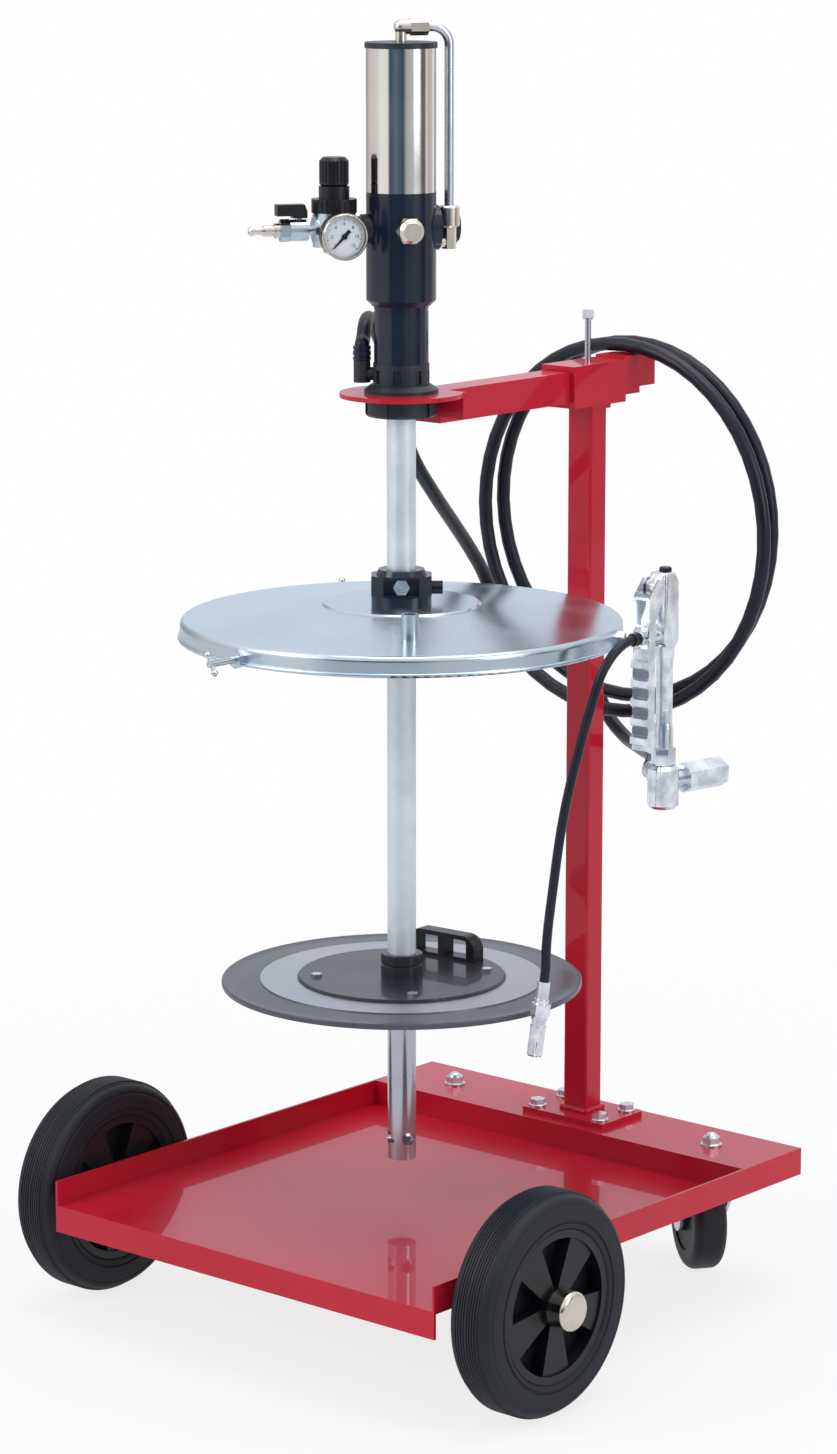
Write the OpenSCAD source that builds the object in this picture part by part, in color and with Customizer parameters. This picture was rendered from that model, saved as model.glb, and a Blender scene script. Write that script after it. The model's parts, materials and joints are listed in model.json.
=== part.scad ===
// Pneumatic grease pump kit on a four-wheeled trolley.
// X runs to the right along the axle, Y from the open front of the tray to its rear shelf, Z up.
// Every place below is measured from the pump's axis and the floor; seat() moves the whole
// trolley back so that the origin lies on the floor, midway between its front and its rear.

/* [Tray] */
// Width of the tray over its side walls
tray_w = 456; // [440:1:480]
// From the pump's axis to the front edge of the tray
tray_front = 221; // [205:1:235]
// From the pump's axis to the riser of the rear shelf
tray_back = 220; // [215:1:230]
// Depth of the rear shelf
shelf_d = 89; // [86:1:100]
// Height of the tray's floor
floor_z = 109; // [109:0.5:112]
// Height of the walls over the floor
wall_h = 23; // [20:1:28]
// Drop of the front lip under the floor
lip_h = 25; // [15:1:32]
// Thickness of the sheet steel
sheet_t = 2.5; // [1.5:0.1:3]

/* [Wheels] */
// Diameter of the two large wheels
wheel_d = 200; // [190:1:204]
// Width of a large tyre
tyre_w = 45; // [36:1:50]
// Opening of the tyre for its hub
hub_d = 136; // [120:1:144]
// From the pump's axis forward to the axle
axle_front = 122; // [105:1:135]
// Gap between the tray and a large wheel
wheel_gap = 12; // [8:1:18]
// Diameter of the axle
axle_d = 12; // [10:0.5:13]
// Diameter of the push-on axle caps
cap_d = 36; // [30:1:42]
// Ribs in each face of a hub
hub_ribs = 5; // [4:1:7]

/* [Casters] */
// Diameter of the caster wheels
caster_d = 100; // [90:1:102]
// Width of the caster wheels
caster_w = 32; // [26:1:36]
// How far in from the tray's sides the casters stand
caster_in = 70; // [58:1:83]
// Distance that a caster's wheel trails its bolt
caster_trail = 40; // [32:1:42]
// Direction in which the right caster trails
right_caster_turn = 143; // [0:1:359]
// Direction in which the left caster trails
left_caster_turn = 128; // [0:1:359]

/* [Post and arm] */
// From the pump's axis back to the post
post_back = 265; // [262:1:270]
// Width of the post
post_w = 28; // [24:1:32]
// Depth of the post
post_d = 24; // [20:1:28]
// Width of the foot plate
foot_plate_w = 100; // [90:1:110]
// Depth of the foot plate
foot_plate_d = 64; // [58:1:70]
// Height of the top of the arm's sleeve
sleeve_top = 859; // [850:1:870]
// Outer size of the square arm
arm_s = 29; // [26:0.5:31]
// Wall of the square tubes
tube_wall = 2.5; // [2:0.1:3]
// Radius of the round front of the pump's plate
plate_r = 55; // [50:1:60]

/* [Pump] */
// Outer diameter of the air cylinder
cylinder_d = 62; // [56:1:64]
// Length of the air cylinder
cylinder_l = 125; // [115:1:140]
// Outer diameter of the black air valve body
air_body_d = 62; // [60:1:66]
// Length of the air valve body
air_body_l = 100; // [90:1:110]
// Diameter of the neck
neck_d = 48.5; // [44:0.5:52]
// Outer diameter of the suction tube
suction_d = 26; // [24:0.5:28]
// Height of the lower end of the suction tube's foot
foot_z = 150; // [140:1:165]
// Stroke of the air piston
stroke = 90; // [60:5:95]
// Turn of the pump on its plate
pump_turn = 55; // [0:1:90]

/* [Lid and follower] */
// Outer diameter of the drum lid
lid_d = 397; // [380:1:400]
// Height of the top of the lid
lid_z = 655; // [640:1:670]
// Depth of the lid's rim
lid_rim_h = 20; // [16:1:26]
// Outer diameter of the follower's rubber membrane
follower_d = 328; // [310:1:330]
// Height of the top of the membrane
follower_z = 320; // [300:0.5:330]
// Diameter of the steel ring on the membrane
ring_plate_d = 258; // [240:1:280]
// Diameter of the follower's black disc
disc_d = 190; // [175:1:200]

/* [Hoses and gun] */
// Outer diameter of the grease hose
hose_d = 13; // [11:0.5:13]
// Outer diameter of the gun's short hose
whip_d = 8.5; // [7:0.5:9]
// Mean radius of the first loop of the coil
coil_r = 175; // [165:1:180]
// Loops of the coil, measured from its start
coil_turns = 2.03; // [1.9:0.01:2.1]
// Step from one loop to the next
coil_pitch = 20; // [16:0.5:22]
// Diameter of the pressure gauge
gauge_d = 40; // [36:1:44]

/* [Hidden] */
$fn = 64;

// Colours of the finishes
red_paint = "#C4343E";
tyre_black = "#2A2E35";
plastic_black = "#1D2026";
anodised = "#232A36";
chrome = "#C9C8C6";
zinc = "#AEB6C2";
galvanised = "#B9C7CF";
brass_nickel = "#CDBFAE";
hose_black = "#22252E";

// Shared clearances and one overrun for cuts
fit = 0.08;
gap = 0.3;
over = 1;

// Heights and planes of the trolley
wall_top = floor_z + wall_h;
sheet_under = floor_z - sheet_t;
lip_bottom = floor_z - lip_h;
rear_edge = tray_back + shelf_d;
lug_t = 6;
lug_w = 34;
lug_in = 24;
lug_x = tray_w / 2 - lug_in;
axle_z = wheel_d / 2;
tyre_inner_x = tray_w / 2 + wheel_gap;
tyre_mid_x = tyre_inner_x + tyre_w / 2;
tyre_outer_x = tyre_inner_x + tyre_w;
cap_start_x = tyre_outer_x + gap;
cap_l = 18;
cap_round = 5;
shelf_bolt_z = wall_top;

// Large wheel
tread_groove = 1.6;
tread_flat_share = 0.52;
tyre_shoulder = 9;
hub_wall = 7;
hub_web = 9;
hub_boss_d = 34;
hub_rib_t = 8;
hub_rib_rim = 38;
hub_chamfer = 2;
axle_bore = axle_d + 2 * fit;

// Caster
fork_t = 3;
fork_plate_d = 52;
fork_plate_t = 4;
race_d = 40;
race_h = 7;
fork_top = wall_top - sheet_t - gap;
fork_crown_z = fork_top - fork_plate_t - race_h;
fork_crown_t = 4;
fork_gap = caster_w + 6;
caster_pin_d = 10;
caster_axle_z = caster_d / 2;
caster_boss_d = 26;
caster_x = tray_w / 2 - caster_in;
caster_behind = 42;
caster_back = tray_back + caster_behind;
fork_leg_w = 26;
king_bolt_d = 10;

// Post, sleeve and arm
plate_t = 5;
post_foot = wall_top + plate_t;
sleeve_wall = 4.7;
sleeve_w = arm_s + 2 * gap + 2 * sleeve_wall;
sleeve_h = arm_s + 2 * gap + 2 * sleeve_wall;
sleeve_bottom = sleeve_top - sleeve_h;
sleeve_ahead = 44;
sleeve_front = post_back - sleeve_ahead;
sleeve_behind = 33;
sleeve_back = post_back + sleeve_behind;
arm_bottom = sleeve_bottom + sleeve_wall + gap;
arm_top = arm_bottom + arm_s;
arm_mid = (arm_bottom + arm_top) / 2;
collar_t = 4;
collar_rim = 3;
weld_r = 4;
saddle_reach = 80;
saddle_back = post_back + saddle_reach;
saddle_w = 34;
saddle_foot = 6;
saddle_under = sleeve_bottom + saddle_foot;
saddle_rise = 5.2;
saddle_high = sleeve_top - saddle_under + saddle_rise;
saddle_step = 24;
saddle_drop = 6;
saddle_wall = 3;
coil_steps = 24;
saddle_gap = coil_r * (1 - cos(180 / coil_steps)) + gap;
saddle_t = 6;
base_bolt_edge = 12;
base_bolt_x = foot_plate_w / 2 - base_bolt_edge;
base_bolt_end = 11;
base_bolt_y = foot_plate_d / 2 - base_bolt_end;
m8_af = 13;
m8_head = 5.5;
washer_d = 17;
washer_t = 1.6;
dome_nut_d = 15;
dome_nut_h = 13;
clamp_screw_d = 6;
clamp_head_af = 10;
clamp_head_h = 7;
clamp_screw_rise = 48;
clamp_screw_top = sleeve_top + clamp_screw_rise;

// Plate under the pump
plate_over = 1.2;
plate_top = arm_top + gap + plate_over;
bracket_t = 4;
bracket_under = plate_top - bracket_t;
leg_in = 33;
leg_half_w = 44;
leg_drop = 20;
leg_out = leg_in + bracket_t;
plate_hole_d = 45;

// Pump, from the plate up
spigot_d = plate_hole_d - 2 * gap;
flange_d = 66;
flange_rim = 3;
flange_cone = 4;
flange_top_d = 54;
collar_z = plate_top + flange_rim + flange_cone;
collar_d = 50;
collar_h = 19;
collar_slots = 8;
collar_slot_w = 7;
collar_slot_d = 2.2;
collar_slot_h = 12;
neck_z = collar_z + collar_h;
neck_l = 51;
groove_w = 1.6;
groove_d = 0.8;
body_z = neck_z + neck_l;
body_chamfer = 5;
cylinder_z = body_z + air_body_l;
cylinder_wall = 3;
cylinder_bore = cylinder_d - 2 * cylinder_wall;
cap_z = cylinder_z + cylinder_l;
end_cap_t = 5;
end_cap_rim = 1;
end_spigot = 6;
nut_d = 64;
nut_h = 17;
nut_z = bracket_under - nut_h;
nut_slots = 6;
nut_slot_w = 8;
nut_slot_depth = 2;
nut_chamfer = 2;

// Piston, rod and plunger
rod_d = 12;
rod_bore = rod_d + 2 * fit;
piston_t = 14;
piston_d = cylinder_bore - 2 * fit;
piston_rest = 4;
piston_z = cylinder_z + piston_rest;
seal_groove = 1.5;
plunger_d = 18;
plunger_l = 24;
plunger_rise = 55;
plunger_z = foot_z + plunger_rise;

// Air side of the pump, in the pump's turned frame
port_rise = 68;
port_z = body_z + port_rise;
plug_d = 22;
plug_reach = 9;
plug_collar = 4;
plug_hex_af = 22;
adapter_d = 26;
reg_ahead = 29.5;
reg_x = air_body_d / 2 + reg_ahead;
reg_r = 19;
adapter_seat = 0.5;
adapter_end = reg_x - reg_r - adapter_seat;
reg_half = 15;
reg_z = port_z - reg_half;
reg_ring_d = 40;
reg_ring_z = port_z + reg_half;
reg_ring_h = 12;
bonnet_d = 27;
bonnet_z = reg_ring_z + reg_ring_h;
bonnet_h = 11;
knob_d = 26;
knob_h = 25;
knob_z = bonnet_z + bonnet_h + gap;
knob_ribs = 24;
knob_rib = 1.6;
knob_stem_d = 12;
knob_stem_h = 10;
gauge_drop = 3;
gauge_z = port_z - gauge_drop;
gauge_stem_d = 12;
gauge_neck = 8;
gauge_back = reg_r + gauge_neck;
gauge_t = 17;
gauge_wall = 1.6;
gauge_front = gauge_back + gauge_t;
dial_t = 1;
dial_depth = 5;
dial_y = gauge_front - dial_depth;
needle_l = 14;
needle_w = 1.6;
needle_t = 0.8;
needle_hub_d = 5;
lens_t = 1.4;
needle_rest = 137;
valve_x0 = reg_x + reg_r;
valve_neck_l = 5;
valve_l = 25;
valve_d = 19;
valve_x1 = valve_x0 + valve_neck_l + valve_l;
stem_d = 6;
stem_h = 4;
stem_back = 17;
stem_x = valve_x1 - stem_back;
lever_l = 27;
lever_w = 12;
lever_t = 4;
lever_over = 1;
lever_z = port_z + valve_d / 2 + gap + lever_over;
lever_drop = 6;
nipple_l = 28;
nipple_d = 10;
nipple_tip_d = 7;
fitting_ahead = 12.5;
fitting_x = air_body_d / 2 + fitting_ahead;
air_tube_d = 8.5;
tube_bend = 16;
tube_rise = 13;
tube_top = cap_z + end_cap_t + tube_rise;
union_h = 19;
union_top = port_z + union_h;
union_mid = port_z;
union_drop = 19;
union_low = port_z - union_drop;
union_d = 19;
fitting_d = 11.5;
boss_d = 40;
boss_over = 2;
boss_reach = air_body_d / 2 + boss_over;
muffler_d = 32;
muffler_reach = 58;
muffler_y = 26;
elbow_s = 13;
elbow_hex = 15;
elbow_reach = 24;
elbow_stub_d = 10;

// Suction tube
suction_wall = 3;
suction_bore = suction_d - 2 * suction_wall;
suction_under = 8;
suction_top = body_z - suction_under;
joint_z = 300;
seam_z = 229;
foot_hole_d = 13;
foot_hole_rise = 20;
foot_hole_z = foot_z + foot_hole_rise;
foot_turn = -19;

// Grease outlet
outlet_turn = 215;
outlet_reach = 35;
outlet_rise = 9;
outlet_z = collar_z + outlet_rise;
outlet_d = 15;
outlet_stub = 12;
outlet_top = outlet_z + outlet_stub;

// Lid
lid_r = lid_d / 2;
lid_t = 1.5;
lid_ring_r = 70;
lid_ring_step = 1.6;
lid_rise = 12;
lid_centre_z = lid_z + lid_rise;
lid_hole_d = suction_d + 2 * fit;
lid_bead = 2;
lid_round = 5;
screw_drop = 14;
screw_z = lid_z - screw_drop;
screw_turns = [-94, 26, 146];
screw_d = 6;
screw_reach = 33;
screw_inner = 14;
weld_nut_af = 14;
weld_nut_h = 6;
tbar_d = 4;
tbar_l = 17;
tbar_ball = 6;
tbar_turn = 30;
clamp_turn = 41;
clamp_base_d = 54;
clamp_base_h = 7;
clamp_w = 54;
clamp_deep = 46;
clamp_corner = 11;
clamp_h = 18;
clamp_top_h = 5;
clamp_slot_w = 32;
clamp_slot_h = 14;
clamp_slot_d = 6;
clamp_bolt_d = 13;
clamp_bolt_h = 5;
clamp_lug_d = 12;
clamp_lug_reach = 37;
holder_r = 139;
holder_turn = -46;
holder_d = 16;
holder_bore = 11;
holder_h = 22;
holder_z = lid_z - lid_ring_step - lid_t / 2
    + lid_rise * (lid_r - lid_round - holder_r) / (lid_r - lid_round - lid_ring_r);

// Follower
membrane_t = 2.5;
membrane_lip = 5;
membrane_lip_t = 3;
membrane_bore = suction_d + 2 * fit;
ring_t = 1;
disc_t = 2.5;
disc_z = follower_z + ring_t;
disc_top = disc_z + disc_t;
hub_h = 20;
hub_top_z = disc_top + hub_h;
hub_outer = 38;
hub_seam = 1;
follower_bolt_r = 78;
follower_bolt_turns = [-132, -42, 48, 138];
follower_bolt_af = 9;
follower_bolt_h = 2.5;
handle_turn = 4;
handle_shift = -6;
handle_reach = 68;
handle_l = 75;
handle_h = 24;
handle_w = 15;
handle_t = 4.2;
handle_post = 9;
handle_round = 14;
handle_rib_t = 7;
handle_rail = 3.2;

// Gun, in its own upright frame
gun_x = 228;
gun_y = 90;
gun_foot = 535;
gun_top = 708;
gun_grip_d = 15;
gun_grip_swell = 2;
gun_head_z = 641;
gun_head_w = 18;
gun_head_d = 22;
gun_nose_w = 12;
gun_nose_d = 21;
gun_slope = 9;
gun_cap_d = 11;
gun_cap_h = 4;
gun_boss_z = 653;
gun_boss_d = 13;
gun_boss_front = 38;
gun_nut_h = 16;
gun_nut_af = 19;
trigger_bottom = 551;
trigger_front = 34;
trigger_deep = 9;
trigger_w = 18;
trigger_wall = 1.8;
trigger_ear = 12;
trigger_pin_z = 699;
trigger_pin_y = 16;
trigger_pin_d = 5;
trigger_window_w = 11;
trigger_window_h = 22;
trigger_window_z = gun_boss_z + gun_boss_d * 3 / 4 + trigger_wall;
grip_ribs = 5;
grip_rib_h = 9;
grip_rib_out = 3;
grip_rib_step = 17;
grip_rib_z = 557;
swivel_d = 28;
swivel_h = 39;
swivel_arm_l = 68;
swivel_arm_af = 24;
swivel_arm_turn = 80;
swivel_port_turn = 141;
swivel_port_reach = 26;
swivel_port_d = 19;
swivel_port_drop = 15;
port_height = gun_foot - swivel_port_drop;

// Grease coupler on the short hose
coupler_x = 184;
coupler_y = -21;
coupler_top = 352;
coupler_lean = 7;
coupler_lean_turn = 41;
ferrule_d = 11.4;
ferrule_l = 16;
coupler_neck_l = 4;
coupler_hex_d = 15;
coupler_hex_l = 11.5;
coupler_sleeve_d = 14.4;
coupler_band_d = 12.6;
coupler_band_l = 6;
coupler_l = 52;
coupler_jaw_d = 13.8;
coupler_jaw_l = 23;
coupler_bore = 10;
coupler_bore_l = 15;
coupler_slit = 1.2;
coupler_hex_z = -ferrule_l - coupler_neck_l;
coupler_band_z = coupler_hex_z - coupler_hex_l - 2 * groove_w;
coupler_end_z = -ferrule_l - coupler_l;

// Coil: loops shrink by a little as they go back, and all hang from the same saddle
coil_start = 230;
coil_front = 303;
coil_crown = 12;
coil_top = sleeve_top + coil_crown;
coil_shrink = 6;

// Routes of the free hoses
supply_route = [
    [-32, -15, 900], [-40, -3, 913], [-54, 18, 918], [-66, 44, 904], [-71, 72, 864],
    [-72, 106, 814], [-87, 145, 755], [-112, 197, 708], [-138, 250, 664], [-151, 284, 619]
];
tail_route = [
    [-36, 340, 533], [-4, 330, 512], [32, 306, 499], [68, 272, 495], [106, 230, 497],
    [146, 182, 505]
];
whip_route = [
    [228, 24, 648], [227, 9, 631], [225, 1, 603], [221, -7, 560], [214, -14, 505],
    [203, -19, 440], [191, -21, 385]
];
hose_sides = 8;
steps_between = 3;

front_y = (lid_r + screw_reach) * sin(screw_turns[0]) - tbar_ball / 2
    - tbar_l / 2 * sin(tbar_turn) * abs(cos(screw_turns[0]));
mid_y = (saddle_back + front_y) / 2;

// Moves a piece from the pump's axis to the trolley's own origin
module seat() translate([0, -mid_y, 0]) children();

// Turns a piece into the pump's frame, whose inlet points along its negative X
module in_pump() rotate([0, 0, pump_turn]) children();

module hex_bar(af, h) cylinder(d = af / cos(30), h = h, $fn = 6);

// A rod or tube along X
module along_x(x0, x1, d) translate([x0, 0, 0]) rotate([0, 90, 0]) cylinder(d = d, h = x1 - x0);

module rounded_box(w, d, h, r) {
    linear_extrude(h) square_round(w, d, r);
}

// A rectangle with true round corners
module square_round(w, d, r) {
    square([w - 2 * r, d], center = true);
    square([w, d - 2 * r], center = true);
    for (sx = [-1, 1], sy = [-1, 1]) translate([sx * (w / 2 - r), sy * (d / 2 - r)]) circle(r);
}

// Hose maths: a curve through the route's points that starts and ends straight
function unit(v) = v / norm(v);
function way(p, i, first, last) = i == 0 ? first : i == len(p) - 1 ? last :
    let (a = p[i] - p[i - 1], b = p[i + 1] - p[i]) unit(b / norm(b) * norm(a) + a / norm(a) * norm(b));
function curve_at(a, b, u, v, t) = (2 * t ^ 3 - 3 * t ^ 2 + 1) * a + (t ^ 3 - 2 * t ^ 2 + t) * u
    + (3 * t ^ 2 - 2 * t ^ 3) * b + (t ^ 3 - t ^ 2) * v;
function curve(p, first, last, n) = concat(
    [for (i = [0 : len(p) - 2], k = [0 : n - 1]) let (reach = norm(p[i + 1] - p[i]))
        curve_at(p[i], p[i + 1], reach * way(p, i, first, last), reach * way(p, i + 1, first, last), k / n)],
    [p[len(p) - 1]]);
function hose_line(from, first, route, last, to, d) =
    concat([from],
        curve(concat([from + d * first], route, [to - d * last]), first, last, steps_between), [to]);
function knot(p, i) = p[max(0, min(len(p) - 1, i))];
function heading(p, i) = unit(knot(p, i + 1) - knot(p, i - 1));
function drop_along(v, t) = unit(v - (v * t) * t);
function carry(p, v, i) = i == 0 ? [v] :
    let (before = carry(p, v, i - 1)) concat(before, [drop_along(before[i - 1], heading(p, i))]);
function line_length(p, i = 0) = i >= len(p) - 1 ? 0 : norm(p[i + 1] - p[i]) + line_length(p, i + 1);

// Sweeps a round tube along the points p, with flat ends square to its first and last headings
module swept_tube(p, d, sides, first_side) {
    n = len(p);
    side = carry(p, drop_along(first_side, heading(p, 0)), n - 1);
    points = [for (i = [0 : n - 1]) let (t = heading(p, i), u = side[i], w = cross(t, u))
        for (k = [0 : sides - 1]) p[i] + d / 2 * (cos(360 * k / sides) * u + sin(360 * k / sides) * w)];
    walls = [for (i = [0 : n - 2], k = [0 : sides - 1])
        let (a = i * sides + k, b = i * sides + (k + 1) % sides) each
        [[a, a + sides, b + sides], [a, b + sides, b]]];
    start_cap = [for (k = [1 : sides - 2]) [0, k, k + 1]];
    last = (n - 1) * sides;
    end_cap = [for (k = [1 : sides - 2]) [last, last + k + 1, last + k]];
    polyhedron(points, concat(walls, start_cap, end_cap), convexity = 10);
}

// Coil centre line
function coil_radius(a) = coil_r - coil_shrink * (a - coil_start) / 360;
function coil_point(a) = [coil_radius(a) * cos(a),
    coil_front + coil_pitch * (a - coil_start) / 360,
    coil_top - coil_radius(a) + coil_radius(a) * sin(a)];
coil_end = coil_start + 360 * coil_turns;
coil_count = round(coil_steps * coil_turns);
coil_line = [for (i = [0 : coil_count]) coil_point(coil_start + (coil_end - coil_start) * i / coil_count)];
coil_in = unit(coil_line[1] - coil_line[0]);
coil_out = unit(coil_line[coil_count] - coil_line[coil_count - 1]);
coil_path = concat([coil_line[0] - hose_d * coil_in], coil_line,
    [coil_line[coil_count] + hose_d * coil_out]);
coil_gap = min([for (i = [0 : coil_count], j = [0 : coil_count])
    if (j - i > coil_steps / 2) norm(coil_line[i] - coil_line[j])]) - hose_d;

// Lines of the free hoses, between the pieces that hold their ends
outlet_at = [outlet_reach * cos(outlet_turn), outlet_reach * sin(outlet_turn), outlet_top];
supply_line = hose_line(outlet_at, [0, 0, 1], supply_route, coil_in, coil_path[0], hose_d);
swivel_way = [cos(swivel_port_turn), sin(swivel_port_turn), 0];
swivel_at = [gun_x, gun_y, port_height] + swivel_port_reach * swivel_way;
tail_line = hose_line(coil_path[coil_count + 2], coil_out, tail_route, -swivel_way, swivel_at, hose_d);
whip_from = [gun_x, gun_y - gun_boss_front, gun_boss_z];
whip_to = [coupler_x, coupler_y, coupler_top];
lean_way = [-sin(coupler_lean) * cos(coupler_lean_turn), -sin(coupler_lean) * sin(coupler_lean_turn),
    -cos(coupler_lean)];
whip_line = hose_line(whip_from, [0, -1, 0], whip_route, lean_way, whip_to, whip_d);
echo("least gap between the coil's loops", coil_gap);
echo("length of the long hose", line_length(supply_line) + line_length(coil_path) + line_length(tail_line));
echo("length of the short hose", line_length(whip_line));

// Sheet-steel tray: floor, two side walls, bent front lip and the lugs that carry the axle
module tray() color(red_paint) seat() {
    difference() {
        union() {
            translate([-tray_w / 2, -tray_front, sheet_under])
                cube([tray_w, tray_front + rear_edge, wall_top - sheet_under]);
            translate([-tray_w / 2, -tray_front, lip_bottom])
                cube([tray_w, sheet_t, lip_h]);
        }
        translate([-tray_w / 2 + sheet_t, -tray_front - over, floor_z])
            cube([tray_w - 2 * sheet_t, tray_front + rear_edge + 2 * over, wall_h + over]);
        translate([-tray_w / 2 + sheet_t, tray_back + sheet_t, sheet_under - over])
            cube([tray_w - 2 * sheet_t, shelf_d, wall_h + sheet_t + 2 * over]);
    }
    for (side = [-1, 1]) difference() {
        translate([side * lug_x - lug_t / 2, -axle_front - lug_w / 2, axle_z - axle_d])
            cube([lug_t, lug_w, sheet_under - axle_z + axle_d + sheet_t / 2]);
        translate([0, -axle_front, axle_z]) along_x(-lug_x - lug_t, lug_x + lug_t, axle_d);
    }
}

// Rear shelf: riser, flat top and rear flange, welded between the side walls
module rear_shelf() color(red_paint) seat() difference() {
    translate([-tray_w / 2 + sheet_t, tray_back, floor_z])
        cube([tray_w - 2 * sheet_t, shelf_d, wall_h]);
    translate([-tray_w / 2, tray_back + sheet_t, floor_z - over])
        cube([tray_w, shelf_d - 2 * sheet_t, wall_h - sheet_t + over]);
    for (side = [-1, 1]) translate([side * caster_x, caster_back, floor_z])
        cylinder(d = king_bolt_d, h = wall_h + over);
}

module axle() color(zinc) seat()
    translate([0, -axle_front, axle_z]) along_x(-cap_start_x, cap_start_x, axle_d);

// Push-on caps that keep the wheels on the axle
module axle_caps() color(brass_nickel) seat() for (side = [0, 1]) mirror([side, 0, 0])
    translate([cap_start_x, -axle_front, axle_z]) rotate([0, 90, 0]) rotate_extrude() {
        square([cap_d / 2, cap_l - cap_round]);
        square([cap_d / 2 - cap_round, cap_l]);
        translate([cap_d / 2 - cap_round, cap_l - cap_round]) intersection() {
            circle(cap_round);
            square(cap_round);
        }
    }

// Solid rubber tyre with a grooved flat tread and round shoulders
module tyre_profile() {
    flat = tyre_w * tread_flat_share;
    difference() {
        translate([hub_d / 2, -tyre_w / 2]) union() {
            translate([0, tyre_shoulder]) square([(wheel_d - hub_d) / 2, tyre_w - 2 * tyre_shoulder]);
            square([(wheel_d - hub_d) / 2 - tyre_shoulder, tyre_w]);
            for (y = [tyre_shoulder, tyre_w - tyre_shoulder])
                translate([(wheel_d - hub_d) / 2 - tyre_shoulder, y]) circle(tyre_shoulder);
        }
        for (s = [-1, 0, 1]) translate([wheel_d / 2 - tread_groove, s * flat / 3 - tread_groove / 2])
            square([tread_groove + over, tread_groove]);
        for (s = [-1, 1]) translate([(wheel_d + hub_d) / 4, s * tyre_w / 2]) circle(tread_groove);
    }
}

module tyre(side) color(tyre_black) seat() translate([side * tyre_mid_x, -axle_front, axle_z])
    rotate([0, 90, 0]) rotate_extrude() tyre_profile();

// Moulded hub: rim, web and boss, with ribs that leave deep pockets in both faces
module hub(side) color(plastic_black) seat() translate([side * tyre_mid_x, -axle_front, axle_z])
    rotate([0, 90, 0]) difference() {
        union() {
            translate([0, 0, -tyre_w / 2 + hub_chamfer]) difference() {
                cylinder(d = hub_d, h = tyre_w - 2 * hub_chamfer);
                translate([0, 0, -over]) cylinder(d = hub_d - 2 * hub_wall, h = tyre_w + 2 * over);
            }
            translate([0, 0, -hub_web / 2]) cylinder(d = hub_d - hub_wall, h = hub_web);
            translate([0, 0, -tyre_w / 2]) cylinder(d = hub_boss_d, h = tyre_w);
            for (i = [0 : hub_ribs - 1]) rotate([0, 0, 360 * i / hub_ribs])
                translate([0, 0, -tyre_w / 2 + 2 * hub_chamfer]) linear_extrude(tyre_w - 4 * hub_chamfer)
                    polygon([[0, -hub_rib_t / 2], [(hub_d - hub_wall) / 2, -hub_rib_rim / 2],
                        [(hub_d - hub_wall) / 2, hub_rib_rim / 2], [0, hub_rib_t / 2]]);
        }
        translate([0, 0, -tyre_w]) cylinder(d = axle_bore, h = 2 * tyre_w);
    }

module tyre_left() tyre(-1);
module tyre_right() tyre(1);
module hub_left() hub(-1);
module hub_right() hub(1);

// Places a caster piece under the shelf, trailing along its own X
module at_caster(side, turn) seat() translate([side * caster_x, caster_back, 0])
    rotate([0, 0, turn]) children();

// Pressed fork: mounting disc, ball race, crown, two legs and the pin of its wheel
module caster_fork(side, turn) color(zinc) at_caster(side, turn) {
    translate([0, 0, fork_top - fork_plate_t]) cylinder(d = fork_plate_d, h = fork_plate_t);
    translate([0, 0, fork_crown_z - fork_crown_t]) cylinder(d = race_d, h = race_h + fork_crown_t + over);
    translate([0, 0, fork_crown_z - fork_crown_t])
        translate([0, 0, fork_crown_t / 2])
            cube([race_d, fork_gap + 2 * fork_t, fork_crown_t], center = true);
    for (s = [-1, 1]) translate([0, s * (fork_gap + fork_t) / 2 + fork_t / 2, 0]) rotate([90, 0, 0])
        linear_extrude(fork_t) union() {
            polygon([[-race_d / 2, fork_crown_z], [race_d / 2, fork_crown_z],
                [race_d / 2, fork_crown_z - fork_crown_t - fork_leg_w / 2],
                [caster_trail + fork_leg_w / 2, caster_axle_z],
                [caster_trail - fork_leg_w / 2, caster_axle_z],
                [-race_d / 2, fork_crown_z - fork_crown_t - fork_leg_w / 2]]);
            translate([caster_trail, caster_axle_z]) circle(d = fork_leg_w);
        }
    translate([caster_trail, fork_gap / 2 + 2 * fork_t, caster_axle_z]) rotate([90, 0, 0])
        cylinder(d = caster_pin_d, h = fork_gap + 4 * fork_t);
}

module caster_wheel(side, turn) color(tyre_black) at_caster(side, turn)
    translate([caster_trail, 0, caster_axle_z]) rotate([90, 0, 0]) rotate_extrude() difference() {
        union() {
            translate([0, -caster_w / 2]) square([caster_d / 2 - tyre_shoulder, caster_w]);
            translate([0, -caster_w / 2 + tyre_shoulder])
                square([caster_d / 2, caster_w - 2 * tyre_shoulder]);
            for (s = [-1, 1]) translate([caster_d / 2 - tyre_shoulder, s * (caster_w / 2 - tyre_shoulder)])
                circle(tyre_shoulder);
            translate([0, -fork_gap / 2 + gap]) square([caster_boss_d / 2, fork_gap - 2 * gap]);
        }
        translate([-over, -caster_w]) square([caster_pin_d / 2 + fit + over, 2 * caster_w]);
        for (s = [-1, 1]) translate([caster_boss_d / 2, s * caster_w / 2 - tread_groove])
            square([caster_d / 2 - 2 * tyre_shoulder - caster_boss_d / 2, 2 * tread_groove]);
    }

module caster_fork_left() caster_fork(-1, left_caster_turn);
module caster_fork_right() caster_fork(1, right_caster_turn);
module caster_wheel_left() caster_wheel(-1, left_caster_turn);
module caster_wheel_right() caster_wheel(1, right_caster_turn);

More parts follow.
